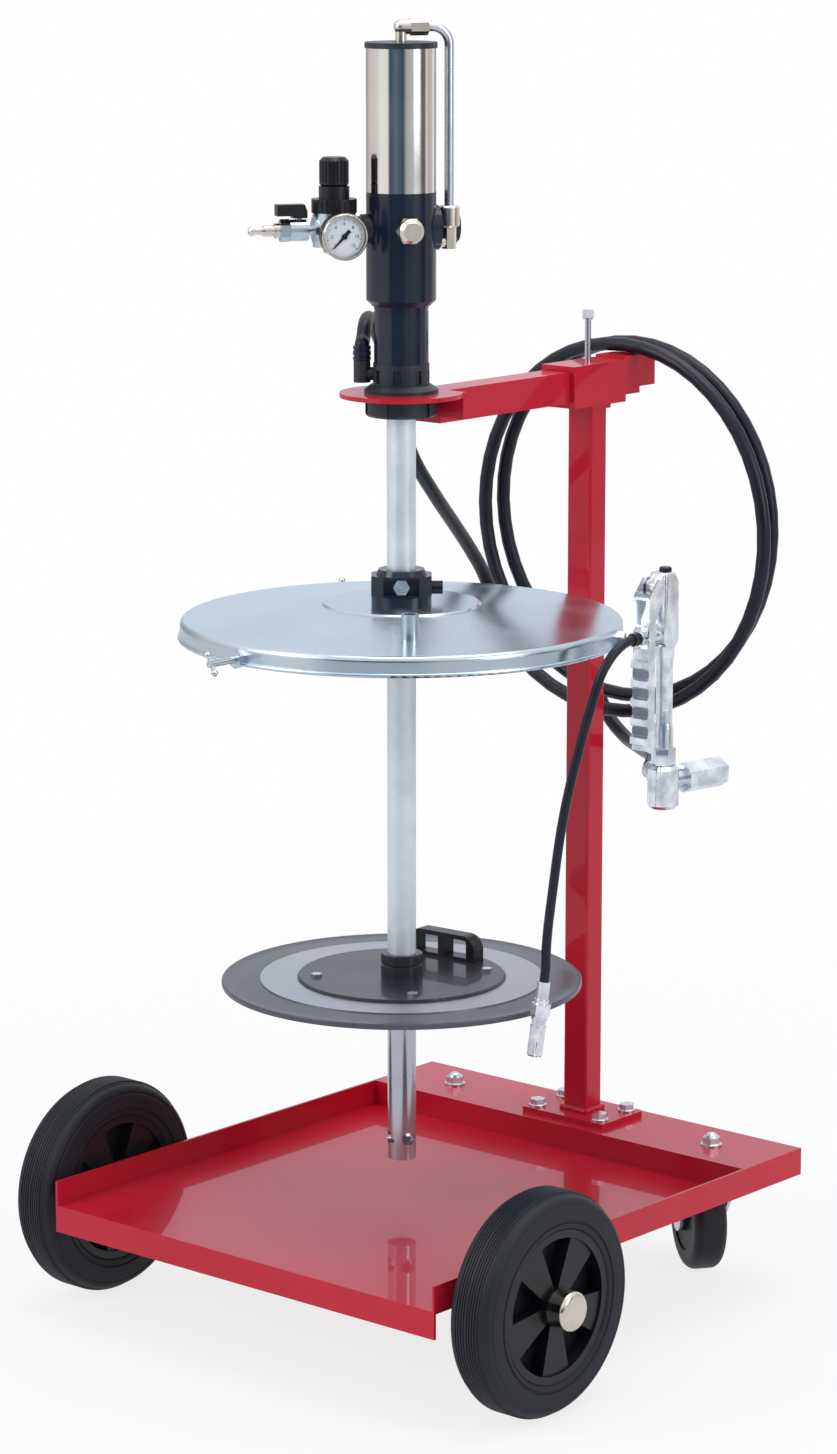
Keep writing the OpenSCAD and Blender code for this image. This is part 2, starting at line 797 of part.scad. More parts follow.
// Dome nut and washer of a caster's king bolt, and the bolt's shank in the shelf
module king_bolt() {
    translate([0, 0, -sheet_t]) cylinder(d = king_bolt_d, h = sheet_t + washer_t);
    cylinder(d = washer_d + 2 * washer_t, h = washer_t);
    translate([0, 0, washer_t]) hex_bar(dome_nut_d, dome_nut_h / 2);
    translate([0, 0, washer_t + dome_nut_h / 2 - dome_nut_d / 5]) intersection() {
        sphere(d = dome_nut_d);
        cylinder(d = dome_nut_d, h = dome_nut_d);
    }
}

// Bolts of the foot plate and the casters, and the long screw that clamps the arm
module trolley_bolts() color(zinc) seat() {
    for (sx = [-1, 1], sy = [-1, 1]) translate([sx * base_bolt_x, post_back + sy * base_bolt_y, post_foot]) {
        cylinder(d = washer_d, h = washer_t);
        translate([0, 0, washer_t]) hex_bar(m8_af, m8_head);
    }
    for (side = [-1, 1]) translate([side * caster_x, caster_back, shelf_bolt_z]) king_bolt();
    translate([0, post_back, sleeve_top - sleeve_wall - gap])
        cylinder(d = clamp_screw_d, h = clamp_screw_top - sleeve_top + sleeve_wall + gap);
    translate([0, post_back, clamp_screw_top - clamp_head_h - washer_t]) {
        cylinder(d = clamp_head_af, h = washer_t);
        translate([0, 0, washer_t]) hex_bar(clamp_head_af, clamp_head_h);
    }
}

// Rectangular post on its foot plate, with the weld bead round its foot and the collar on top
module post() color(red_paint) seat() translate([0, post_back, 0]) {
    translate([0, 0, wall_top]) rounded_box(foot_plate_w, foot_plate_d, plate_t, weld_r);
    difference() {
        union() {
            translate([0, 0, post_foot]) rounded_box(post_w, post_d, sleeve_bottom - post_foot, tube_wall);
            translate([0, 0, post_foot])
                rounded_box(post_w + weld_r, post_d + weld_r, weld_r / 2, tube_wall + weld_r / 2);
            translate([0, 0, sleeve_bottom - collar_t])
                rounded_box(post_w + 2 * collar_rim, post_d + 2 * collar_rim, collar_t, tube_wall);
        }
        translate([0, 0, post_foot + over])
            rounded_box(post_w - 2 * tube_wall, post_d - 2 * tube_wall, sleeve_bottom, tube_wall / 2);
    }
}

// Square sleeve that the arm slides in, with the curved saddle for the hose behind it
module arm_sleeve() color(red_paint) seat() {
    difference() {
        translate([-sleeve_w / 2, sleeve_front, sleeve_bottom])
            cube([sleeve_w, sleeve_back - sleeve_front, sleeve_h]);
        translate([-arm_s / 2 - gap, sleeve_front - over, sleeve_bottom + sleeve_wall])
            cube([arm_s + 2 * gap, sleeve_back - sleeve_front + 2 * over, arm_s + 2 * gap]);
        translate([0, post_back, sleeve_top - sleeve_wall - over])
            cylinder(d = clamp_screw_d, h = sleeve_wall + 2 * over);
    }
    difference() {
        union() {
            translate([-saddle_w / 2, sleeve_back, saddle_under])
                cube([saddle_w, saddle_step, saddle_high]);
            translate([-saddle_w / 2, sleeve_back + saddle_step - over, saddle_under + saddle_drop])
                cube([saddle_w, saddle_back - sleeve_back - saddle_step + over, saddle_high - saddle_drop]);
        }
        translate([-saddle_w / 2 + saddle_wall, sleeve_back + saddle_wall, saddle_under - over])
            cube([saddle_w - 2 * saddle_wall, saddle_back - sleeve_back - 2 * saddle_wall,
                saddle_high - saddle_t + over]);
        translate([0, sleeve_back - over, coil_top - coil_r]) rotate([-90, 0, 0]) difference() {
            cylinder(r = coil_r + saddle_high, h = saddle_back - sleeve_back + 2 * over);
            cylinder(r = coil_r - hose_d / 2 - saddle_gap, h = saddle_back - sleeve_back + 2 * over);
        }
    }
}

// Square arm with the pump's plate welded to its end
module arm() color(red_paint) seat() difference() {
    union() {
        translate([-arm_s / 2, leg_out - over, arm_bottom]) difference() {
            cube([arm_s, sleeve_back - leg_out + over, arm_s]);
            translate([tube_wall, over, tube_wall])
                cube([arm_s - 2 * tube_wall, sleeve_back, arm_s - 2 * tube_wall]);
        }
        translate([0, 0, bracket_under]) linear_extrude(bracket_t) intersection() {
            union() {
                circle(plate_r);
                translate([-leg_half_w, 0]) square([2 * leg_half_w, leg_out]);
            }
            translate([-plate_r, -plate_r]) square([2 * plate_r, plate_r + leg_out]);
        }
        translate([-leg_half_w, leg_in, bracket_under - leg_drop])
            cube([2 * leg_half_w, bracket_t, leg_drop + over]);
    }
    translate([0, 0, bracket_under - over]) cylinder(d = plate_hole_d, h = bracket_t + 2 * over);
}

// Flange that stands on the plate, its castellated collar, and the threaded spigot below
module pump_flange() color(anodised) seat() in_pump() difference() {
    union() {
        rotate_extrude() polygon([
            [0, nut_z], [spigot_d / 2, nut_z], [spigot_d / 2, plate_top], [flange_d / 2, plate_top],
            [flange_d / 2, plate_top + flange_rim], [flange_top_d / 2, collar_z],
            [collar_d / 2, collar_z], [collar_d / 2, neck_z], [0, neck_z]]);
    }
    translate([0, 0, nut_z - over]) cylinder(d = suction_d, h = neck_z - nut_z + 2 * over);
    for (i = [0 : collar_slots - 1]) rotate([0, 0, 360 * (i + 0.5) / collar_slots])
        translate([collar_d / 2 - collar_slot_d, -collar_slot_w / 2, collar_z + groove_w])
            cube([collar_d, collar_slot_w, collar_slot_h]);
}

module lock_nut() color(anodised) seat() in_pump() difference() {
    rotate_extrude() polygon([
        [spigot_d / 2, nut_z], [nut_d / 2 - nut_chamfer, nut_z], [nut_d / 2, nut_z + nut_chamfer],
        [nut_d / 2, nut_z + nut_h], [spigot_d / 2, nut_z + nut_h]]);
    for (i = [0 : nut_slots - 1]) rotate([0, 0, 360 * i / nut_slots])
        translate([nut_d / 2 - nut_slot_depth, -nut_slot_w / 2, nut_z - over])
            cube([nut_d, nut_slot_w, nut_h - nut_chamfer]);
}

module neck() color(anodised) seat() in_pump() rotate_extrude() difference() {
    translate([rod_bore / 2, neck_z]) square([(neck_d - rod_bore) / 2, neck_l]);
    translate([0, neck_z - over]) square([suction_d / 2, suction_top - neck_z + over]);
    translate([neck_d / 2 - groove_d, body_z - 3 * groove_w]) square([groove_d + over, groove_w]);
}

// Air valve body with its ports, the boss of the air tube and the exhaust cap
module air_body() color(anodised) seat() in_pump() difference() {
    union() {
        rotate_extrude() polygon([
            [0, body_z], [air_body_d / 2 - body_chamfer, body_z], [air_body_d / 2, body_z + body_chamfer],
            [air_body_d / 2, cylinder_z], [0, cylinder_z]]);
        translate([0, 0, port_z]) along_x(0, boss_reach, boss_d);
        translate([0, muffler_y, port_z - groove_w]) {
            along_x(0, muffler_reach - sheet_t, muffler_d);
            along_x(0, muffler_reach, muffler_d - 2 * sheet_t);
        }
    }
    translate([0, 0, body_z - over]) cylinder(d = rod_bore, h = air_body_l + 2 * over);
    translate([0, 0, port_z]) rotate([90, 0, 0]) translate([0, 0, air_body_d / 2 - plug_collar / 2])
        cylinder(d = plug_hex_af / cos(30) + 2 * fit, h = plug_collar);
}

module air_cylinder() color(chrome) seat() in_pump() translate([0, 0, cylinder_z]) difference() {
    cylinder(d = cylinder_d, h = cylinder_l);
    translate([0, 0, -over]) cylinder(d = cylinder_bore, h = cylinder_l + 2 * over);
}

module cylinder_cap() color(anodised) seat() in_pump() translate([0, 0, cap_z]) difference() {
    union() {
        translate([0, 0, -end_spigot]) cylinder(d = cylinder_bore, h = end_spigot + over);
        cylinder(d = cylinder_d + 2 * end_cap_rim, h = end_cap_t);
    }
    translate([0, 0, -end_spigot - over]) cylinder(d = rod_d, h = end_spigot + end_cap_t + 2 * over);
}

// Air piston, its rod and the plunger in the foot: one moving piece
module pump_piston() color(chrome) seat() in_pump() {
    translate([0, 0, piston_z]) rotate_extrude() difference() {
        square([piston_d / 2, piston_t]);
        translate([piston_d / 2 - seal_groove, piston_t / 2 - seal_groove])
            square([seal_groove + over, 2 * seal_groove]);
    }
    translate([0, 0, plunger_z]) cylinder(d = rod_d, h = piston_z - plunger_z + piston_t / 2);
    translate([0, 0, plunger_z]) cylinder(d = plunger_d, h = plunger_l);
}

// Elbow on the cylinder's cap that feeds the air tube
module top_elbow() color(brass_nickel) seat() in_pump() {
    translate([0, 0, cap_z + end_cap_t - end_spigot]) cylinder(d = elbow_stub_d, h = tube_top - cap_z);
    translate([0, 0, tube_top]) sphere(d = elbow_s);
    translate([0, 0, tube_top]) along_x(0, elbow_reach / 3, elbow_s);
    translate([elbow_reach / 3, 0, tube_top]) rotate([0, 90, 0])
        hex_bar(elbow_hex - groove_w, elbow_reach * 2 / 3);
}

// Hard air tube: out of the elbow, round one bend and down to its union
module air_tube() color("#9CA6B8") seat() in_pump() {
    translate([0, 0, tube_top]) along_x(elbow_reach, fitting_x - tube_bend, air_tube_d);
    translate([fitting_x - tube_bend, 0, tube_top - tube_bend]) rotate([90, 0, 0])
        rotate_extrude(angle = 90) translate([tube_bend, 0]) circle(d = air_tube_d);
    translate([fitting_x, 0, union_top]) cylinder(d = air_tube_d, h = tube_top - tube_bend - union_top);
}

// Knurled union nut, fitting and its short leg into the valve body
module tube_union() color(brass_nickel) seat() in_pump() {
    translate([fitting_x, 0, union_mid]) rotate_extrude() polygon([
        [0, 0], [union_d / 2 - groove_w, 0], [union_d / 2, groove_w],
        [union_d / 2, union_top - union_mid - groove_w], [union_d / 2 - groove_w, union_top - union_mid],
        [0, union_top - union_mid]]);
    translate([fitting_x, 0, union_low]) hex_bar(fitting_d, union_mid - union_low);
    translate([0, 0, union_low + fitting_d / 2]) along_x(boss_reach, fitting_x, fitting_d - groove_w);
}

// Round plug in the front port, on its hexagon base
module port_plug() color(brass_nickel) seat() in_pump() translate([0, 0, port_z]) rotate([90, 0, 0]) {
    translate([0, 0, air_body_d / 2 - plug_collar / 2]) hex_bar(plug_hex_af, plug_collar);
    translate([0, 0, air_body_d / 2 + plug_collar / 2]) rotate_extrude() polygon([
        [0, 0], [plug_d / 2, 0], [plug_d / 2, plug_reach - 2 * groove_w],
        [plug_d / 2 - 2 * groove_w, plug_reach], [0, plug_reach]]);
}

// Black adapter between the valve body and the regulator
module inlet_adapter() color(plastic_black) seat() in_pump() translate([0, 0, port_z]) difference() {
    union() {
        along_x(-adapter_end, -air_body_d / 2 + plug_collar, adapter_d - 2 * groove_w);
        along_x(-air_body_d / 2 - body_chamfer, -air_body_d / 2 + plug_collar, adapter_d);
    }
    translate([0, 0, -port_z]) cylinder(d = air_body_d, h = 2 * port_z);
}

// Die-cast regulator body: round bowl, square ports and the ring under the bonnet
module regulator_body() color(galvanised) seat() in_pump() {
    translate([-reg_x, 0, reg_z]) cylinder(r = reg_r, h = reg_ring_z - reg_z);
    translate([-reg_x, 0, reg_z - knob_stem_h / 2]) cylinder(r = reg_r / 2, h = knob_stem_h / 2);
    translate([0, 0, port_z]) along_x(-reg_x - reg_r, -adapter_end, adapter_d - 2 * groove_w);
    translate([-reg_x, 0, gauge_z]) rotate([90, 0, 0])
        cylinder(d = gauge_stem_d + 4 * groove_w, h = reg_r + groove_w);
}

// Black bonnet with its ring and the stem of the knob
module regulator_bonnet() color(plastic_black) seat() in_pump() translate([-reg_x, 0, reg_ring_z]) {
    difference() {
        cylinder(d = reg_ring_d, h = reg_ring_h);
        for (i = [0 : knob_ribs - 1]) rotate([0, 0, 360 * i / knob_ribs])
            translate([reg_ring_d / 2, 0, -over]) cylinder(d = knob_rib, h = reg_ring_h + over - groove_w);
    }
    translate([0, 0, reg_ring_h]) cylinder(d = bonnet_d, h = bonnet_h);
    translate([0, 0, reg_ring_h + bonnet_h]) cylinder(d = knob_stem_d, h = knob_stem_h);
}

module regulator_knob() color(plastic_black) seat() in_pump() translate([-reg_x, 0, knob_z]) difference() {
    rotate_extrude() polygon([
        [0, 0], [knob_d / 2 - groove_w, 0], [knob_d / 2, groove_w], [knob_d / 2, knob_h - 2 * groove_w],
        [knob_d / 2 - 2 * groove_w, knob_h], [0, knob_h]]);
    translate([0, 0, -over]) cylinder(d = knob_stem_d + 2 * fit, h = knob_stem_h + over);
    for (i = [0 : knob_ribs - 1]) rotate([0, 0, 360 * i / knob_ribs])
        translate([knob_d / 2, 0, 2 * groove_w]) cylinder(d = knob_rib, h = knob_h);
}

// Points the gauge's pieces forward out of the regulator, from one depth to another
module gauge_disc(y0, y1, d) translate([-reg_x, -y0, gauge_z]) rotate([90, 0, 0])
    cylinder(d = d, h = y1 - y0);

module gauge_case() color(plastic_black) seat() in_pump() {
    gauge_disc(reg_r + groove_w, gauge_back, gauge_stem_d);
    difference() {
        gauge_disc(gauge_back, gauge_front, gauge_d);
        gauge_disc(dial_y - dial_t, gauge_front + over, gauge_d - 2 * gauge_wall);
    }
}

module gauge_dial() color("white") seat() in_pump()
    gauge_disc(dial_y - dial_t, dial_y, gauge_d - 2 * gauge_wall);

// Tapered needle; at rest it points to the dial's zero at the lower left
module gauge_needle() color(plastic_black) seat() in_pump() {
    gauge_disc(dial_y + gap, dial_y + gap + 2 * needle_t, needle_hub_d);
    translate([-reg_x, -dial_y - gap, gauge_z]) rotate([90, 0, 0]) rotate([0, 0, needle_rest + 90])
        linear_extrude(needle_t) polygon([[-needle_l / 2, -needle_w], [-needle_l / 2, needle_w],
            [needle_l, needle_w / 4], [needle_l, -needle_w / 4]]);
}

module gauge_lens() color("#DDE6EC") seat() in_pump()
    gauge_disc(gauge_front - lens_t - gap, gauge_front - gap, gauge_d - 2 * gauge_wall);

// Ball valve: neck, turned body and the stem of its lever
module valve_body() color(galvanised) seat() in_pump() {
    translate([0, 0, port_z]) {
        along_x(-valve_x0 - valve_neck_l, -valve_x0, valve_d - 2 * body_chamfer);
        translate([-valve_x1, 0, 0]) rotate([0, 90, 0]) hex_bar(valve_d - groove_w, valve_l / 3);
        along_x(-valve_x1 + valve_l / 3, -valve_x0 - valve_neck_l, valve_d);
    }
    translate([-stem_x, 0, port_z]) cylinder(d = stem_d, h = lever_z - port_z + stem_h);
}

// Lever of the ball valve, a wedge that lies along the pipe when open
module valve_lever() color(plastic_black) seat() in_pump() translate([-stem_x, 0, lever_z]) difference() {
    translate([0, lever_w / 2, 0]) rotate([90, 0, 0]) linear_extrude(lever_w) polygon([
        [lever_l / 4, 0], [lever_l / 4, lever_drop], [lever_l / 6, 2 * lever_drop],
        [lever_l / 4 - lever_l, 2 * lever_drop], [lever_l / 4 - lever_l, lever_drop / 3],
        [-stem_d, lever_drop / 3], [-stem_d, 0]]);
    translate([0, 0, -over]) cylinder(d = stem_d + 2 * fit, h = stem_h + over + gap);
}

// Quick-release air nipple
module air_nipple() color(brass_nickel) seat() in_pump() translate([-valve_x1, 0, port_z])
    rotate([0, -90, 0]) rotate_extrude() polygon([
        [0, 0], [nipple_d / 2 + groove_w, 0], [nipple_d / 2 + groove_w, nipple_l / 6],
        [nipple_d / 2, nipple_l / 6], [nipple_d / 2, nipple_l / 2], [nipple_tip_d / 2, nipple_l * 3 / 5],
        [nipple_tip_d / 2, nipple_l * 4 / 5], [nipple_tip_d / 2 + groove_d, nipple_l * 4 / 5],
        [nipple_tip_d / 2 + groove_d, nipple_l - groove_w], [nipple_tip_d / 2 - groove_d, nipple_l],
        [0, nipple_l]]);

module suction_tube() color(zinc) seat() difference() {
    translate([0, 0, joint_z]) cylinder(d = suction_d, h = suction_top - joint_z);
    translate([0, 0, joint_z - over]) cylinder(d = suction_bore, h = suction_top - joint_z + 2 * over);
}

// Foot of the suction tube with its crossed inlet holes
module foot_tube() color(chrome) seat() difference() {
    translate([0, 0, foot_z]) cylinder(d = suction_d, h = joint_z - foot_z);
    translate([0, 0, foot_z - over]) cylinder(d = suction_bore, h = joint_z - foot_z + 2 * over);
    for (turn = [0, 90]) rotate([0, 0, foot_turn + turn])
        translate([0, 0, foot_hole_z]) along_x(-suction_d, suction_d, foot_hole_d);
    translate([0, 0, seam_z]) rotate_extrude() translate([suction_d / 2 - groove_d / 2, -groove_d / 2])
        square([groove_d, groove_d]);
}

// Elbow out of the collar that turns the grease up into the long hose
module outlet_elbow() color(plastic_black) seat() difference() {
    rotate([0, 0, outlet_turn]) translate([0, 0, outlet_z]) {
        along_x(collar_d / 4, outlet_reach, outlet_d - 2 * groove_w);
        translate([outlet_reach, 0, -outlet_d / 2])
            cylinder(d = outlet_d, h = outlet_top - outlet_z + outlet_d / 2);
    }
    translate([0, 0, nut_z]) cylinder(d = collar_d, h = neck_z);
}

// Drum lid: cone with a raised flat centre, rolled shoulder, deep rim, bead, three weld nuts
// and the short tube that holds the gun's nose
function lid_edge(drop, inset) = concat(
    [[0, lid_centre_z - drop], [lid_ring_r, lid_centre_z - drop],
        [lid_ring_r + lid_ring_step, lid_centre_z - lid_ring_step - drop]],
    [for (a = [90 : -15 : 0]) [lid_r - lid_round + (lid_round - inset) * cos(a),
        lid_z - lid_ring_step - lid_round + (lid_round - inset) * sin(a)]]);
module drum_lid() color(galvanised) seat() difference() {
    union() {
        rotate_extrude() difference() {
            polygon(concat(lid_edge(0, 0), [[lid_r, lid_z - lid_rim_h], [0, lid_z - lid_rim_h]]));
            polygon(concat(lid_edge(lid_t, lid_t), [[lid_r - lid_t, lid_z - lid_rim_h - over],
                [0, lid_z - lid_rim_h - over]]));
        }
        translate([0, 0, lid_z - lid_rim_h + lid_bead]) rotate_extrude()
            translate([lid_r, 0]) circle(lid_bead);
        for (turn = screw_turns) rotate([0, 0, turn]) translate([lid_r - lid_t / 2, 0, screw_z])
            rotate([0, 90, 0]) hex_bar(weld_nut_af, weld_nut_h + lid_t / 2);
        rotate([0, 0, holder_turn]) translate([holder_r, 0, holder_z]) cylinder(d = holder_d, h = holder_h);
    }
    rotate([0, 0, holder_turn]) translate([holder_r, 0, holder_z + lid_t + holder_h / 4])
        cylinder(d = holder_bore, h = holder_h);
    translate([0, 0, lid_z - lid_t - over]) cylinder(d = lid_hole_d, h = lid_rise + lid_t + 2 * over);
    for (turn = screw_turns) rotate([0, 0, turn]) translate([0, 0, screw_z])
        along_x(lid_r - screw_inner, lid_r + 2 * weld_nut_h, screw_d + 2 * fit);
}

// One clamping screw of the lid with its T-bar
module lid_screw(turn) color(zinc) seat() rotate([0, 0, turn]) translate([0, 0, screw_z]) {
    along_x(lid_r - screw_inner, lid_r + screw_reach, screw_d);
    translate([lid_r + screw_reach, 0, 0]) rotate([tbar_turn, 0, 0]) {
        translate([0, 0, -tbar_l / 2]) cylinder(d = tbar_d, h = tbar_l);
        for (s = [-1, 1]) translate([0, 0, s * tbar_l / 2]) sphere(d = tbar_ball);
    }
    along_x(lid_r + screw_reach - tbar_d, lid_r + screw_reach + tbar_ball / 2, tbar_ball);
}
module lid_screw_front() lid_screw(screw_turns[0]);
module lid_screw_right() lid_screw(screw_turns[1]);
module lid_screw_left() lid_screw(screw_turns[2]);

// Cast clamp that holds the lid on the suction tube
module at_clamp() seat() rotate([0, 0, clamp_turn]) translate([0, 0, lid_centre_z]) children();
module lid_clamp() color(plastic_black) at_clamp() difference() {
    union() {
        cylinder(d = clamp_base_d, h = clamp_base_h);
        translate([0, 0, clamp_base_h]) linear_extrude(clamp_h)
            polygon([for (s = [[1, 1], [-1, 1], [-1, -1], [1, -1]])
                for (k = s[0] * s[1] > 0 ? [0, 1] : [1, 0])
                [s[0] * (clamp_w / 2 - k * clamp_corner), s[1] * (clamp_deep / 2 - (1 - k) * clamp_corner)]]);
        translate([0, 0, clamp_base_h + clamp_h])
            cylinder(d1 = clamp_deep, d2 = clamp_deep - clamp_top_h, h = clamp_top_h);
        translate([0, 0, clamp_base_h + clamp_lug_d / 2]) along_x(0, clamp_lug_reach, clamp_lug_d);
    }
    translate([-clamp_slot_w / 2, -clamp_deep / 2 - over, clamp_base_h + (clamp_h - clamp_slot_h) / 2])
        cube([clamp_slot_w, clamp_slot_d + over, clamp_slot_h]);
    translate([0, 0, -over]) cylinder(d = lid_hole_d, h = clamp_base_h + clamp_h + clamp_top_h + 2 * over);
}

module lid_clamp_bolt() color(zinc) at_clamp()
    translate([0, -clamp_deep / 2 + clamp_slot_d, clamp_base_h + clamp_h / 2]) rotate([90, 0, 0])
        hex_bar(clamp_bolt_d, clamp_bolt_h);

// Rubber membrane of the follower, with the lip that wipes the drum's wall
module follower_membrane() color(tyre_black) seat() translate([0, 0, follower_z]) rotate_extrude()
    polygon([
        [membrane_bore / 2, 0], [follower_d / 2 - groove_w, 0], [follower_d / 2, -groove_w],
        [follower_d / 2, -membrane_lip], [follower_d / 2 - membrane_lip_t, -membrane_lip],
        [follower_d / 2 - 2 * membrane_lip_t, -membrane_t], [membrane_bore / 2, -membrane_t]]);

module follower_ring() color(galvanised) seat() translate([0, 0, follower_z]) difference() {
    cylinder(d = ring_plate_d, h = ring_t);
    translate([0, 0, -over]) cylinder(d = membrane_bore, h = ring_t + 2 * over);
}

module follower_disc() color("#6E7480") seat() difference() {
    rotate_extrude() polygon([
        [0, disc_z], [disc_d / 2, disc_z], [disc_d / 2, disc_z + disc_t - groove_w],
        [disc_d / 2 - groove_w, disc_top], [hub_outer / 2, disc_top],
        [hub_outer / 2, hub_top_z - hub_h / 2 - hub_seam], [hub_outer / 2 - hub_seam, hub_top_z - hub_h / 2],
        [hub_outer / 2, hub_top_z - hub_h / 2 + hub_seam], [hub_outer / 2, hub_top_z - hub_seam],
        [hub_outer / 2 - hub_seam, hub_top_z], [0, hub_top_z]]);
    translate([0, 0, disc_z - over]) cylinder(d = membrane_bore, h = hub_top_z - disc_z + 2 * over);
}

module follower_bolts() color(zinc) seat() for (turn = follower_bolt_turns) rotate([0, 0, turn])
    translate([follower_bolt_r, 0, disc_top]) hex_bar(follower_bolt_af, follower_bolt_h);

// Outline of the follower's bow handle, drawn in by an inset
module bow(inset) intersection() {
    translate([-handle_l / 2, 0]) square([handle_l, handle_h]);
    union() {
        translate([-handle_l / 2 + inset, 0]) square([handle_l - 2 * inset, handle_h - handle_round]);
        translate([-handle_l / 2 + handle_round, 0]) square([handle_l - 2 * handle_round, handle_h - inset]);
        for (s = [-1, 1]) translate([s * (handle_l / 2 - handle_round), handle_h - handle_round])
            circle(handle_round - inset);
    }
}

// Bow handle of the follower: a deep strap on its foot rail, with a rib between two openings
module follower_handle() color(plastic_black) seat() rotate([0, 0, handle_turn])
    translate([handle_shift, handle_reach + handle_w, disc_top]) rotate([90, 0, 0]) linear_extrude(handle_w)
        difference() {
            bow(0);
            intersection() {
                bow(handle_t);
                for (s = [-1, 1])
                    translate([s > 0 ? handle_rib_t / 2 : -handle_l / 2 + handle_post, handle_rail])
                    square([(handle_l - handle_rib_t) / 2 - handle_post, handle_h]);
            }
        }

module at_gun() seat() translate([gun_x, gun_y, 0]) children();

// Extrudes an outline of depths and heights across the gun, centred on it
module across(w) translate([-w / 2, 0, 0]) rotate([90, 0, 90]) linear_extrude(w) children();

// Gun body: stepped grip, cast head, sloping nose with the trigger's pin hole, outlet boss and inlet nut
module gun_body() color(chrome) at_gun() difference() {
    union() {
        rotate_extrude() polygon([
            [0, gun_foot], [gun_grip_d / 2 + gun_grip_swell / 2, gun_foot],
            [gun_grip_d / 2 + gun_grip_swell / 2, (2 * gun_foot + gun_head_z) / 3],
            [gun_grip_d / 2, (2 * gun_foot + gun_head_z) / 3 + gun_grip_swell],
            [gun_grip_d / 2, gun_head_z + over], [0, gun_head_z + over]]);
        translate([0, 0, gun_foot]) hex_bar(gun_nut_af, gun_nut_h);
        across(gun_head_w) polygon([
            [-gun_head_d / 2, gun_head_z + gun_slope / 2], [-gun_head_d / 4, gun_head_z],
            [gun_head_d / 4, gun_head_z], [gun_head_d / 2, gun_head_z + gun_slope / 2],
            [gun_head_d / 2, gun_top - gun_slope], [gun_head_d / 5, gun_top], [-gun_head_d / 2, gun_top]]);
        across(gun_nose_w) polygon([
            [0, trigger_pin_z - 2 * trigger_pin_d], [-gun_nose_d, trigger_pin_z - 2 * trigger_pin_d],
            [-gun_nose_d, gun_top - gun_slope], [-gun_nose_d / 2, gun_top], [0, gun_top]]);
        translate([0, 0, gun_top - over]) cylinder(d = gun_cap_d, h = gun_cap_h + over);
        translate([0, 0, gun_boss_z]) rotate([90, 0, 0]) cylinder(d = gun_boss_d, h = gun_boss_front);
    }
    translate([0, -trigger_pin_y, trigger_pin_z]) along_x(-gun_head_w, gun_head_w, trigger_pin_d + 2 * fit);
}

// Trigger: a folded channel round the outlet, with finger ribs and two ears that hang on its pin
module gun_trigger() color(galvanised) at_gun() {
    difference() {
        across(trigger_w) polygon([
            [-trigger_front, trigger_bottom + trigger_wall], [-trigger_front + trigger_wall, trigger_bottom],
            [-trigger_front + trigger_deep, trigger_bottom],
            [-trigger_front + trigger_deep, trigger_pin_z - 2 * trigger_pin_d - trigger_window_h],
            [-trigger_ear, trigger_pin_z - 2 * trigger_pin_d], [-trigger_ear, trigger_pin_z + trigger_pin_d],
            [-trigger_pin_y - trigger_pin_d, trigger_pin_z + trigger_pin_d],
            [-trigger_front, trigger_pin_z - 2 * trigger_pin_d]]);
        translate([-trigger_w / 2 + trigger_wall, -trigger_front + trigger_wall, trigger_bottom - over])
            cube([trigger_w - 2 * trigger_wall, trigger_front, gun_top]);
        translate([-trigger_w / 2 + trigger_wall, -trigger_front - over, gun_boss_z - gun_boss_d * 3 / 4])
            cube([trigger_w - 2 * trigger_wall, trigger_wall + 2 * over, gun_boss_d * 3 / 2]);
        translate([-trigger_window_w / 2, -trigger_front - over, trigger_window_z])
            cube([trigger_window_w, trigger_wall + 2 * over, trigger_window_h]);
    }
    for (i = [0 : grip_ribs - 1]) across(trigger_w) polygon([for (q = [
        [trigger_wall, 0], [0, 0], [-grip_rib_out, grip_rib_out / 2],
        [-grip_rib_out, grip_rib_h - grip_rib_out / 2], [0, grip_rib_h], [trigger_wall, grip_rib_h]])
        [q[0] - trigger_front, q[1] + grip_rib_z + i * grip_rib_step]]);
    translate([0, -trigger_pin_y, trigger_pin_z]) along_x(-trigger_w / 2, trigger_w / 2, trigger_pin_d);
}

// Swivel under the gun: turned block, hexagon arm and the port of the long hose
module gun_swivel() color(chrome) at_gun() {
    translate([0, 0, gun_foot - swivel_h]) rotate_extrude() polygon([
        [0, 0], [swivel_d / 2 - 2 * groove_w, 0], [swivel_d / 2, 2 * groove_w],
        [swivel_d / 2, swivel_h - 2 * groove_w], [swivel_d / 2 - 2 * groove_w, swivel_h], [0, swivel_h]]);
    translate([0, 0, port_height]) {
        rotate([0, 0, swivel_port_turn]) along_x(0, swivel_port_reach, swivel_port_d);
        rotate([0, 0, swivel_arm_turn]) {
            along_x(0, swivel_arm_l / 2, swivel_port_d - 2 * groove_w);
            translate([swivel_arm_l / 3, 0, 0]) rotate([0, 90, 0])
                hex_bar(swivel_arm_af, swivel_arm_l * 2 / 3);
        }
    }
}

module supply_hose() color(hose_black) seat() swept_tube(supply_line, hose_d, hose_sides, [1, 0, 0]);
module hose_coil() color(hose_black) seat() swept_tube(coil_path, hose_d, 6, [0, 1, 0]);
module hose_tail() color(hose_black) seat() swept_tube(tail_line, hose_d, hose_sides, [0, 1, 0]);
module whip_hose() color(hose_black) seat() swept_tube(whip_line, whip_d, hose_sides, [1, 0, 0]);

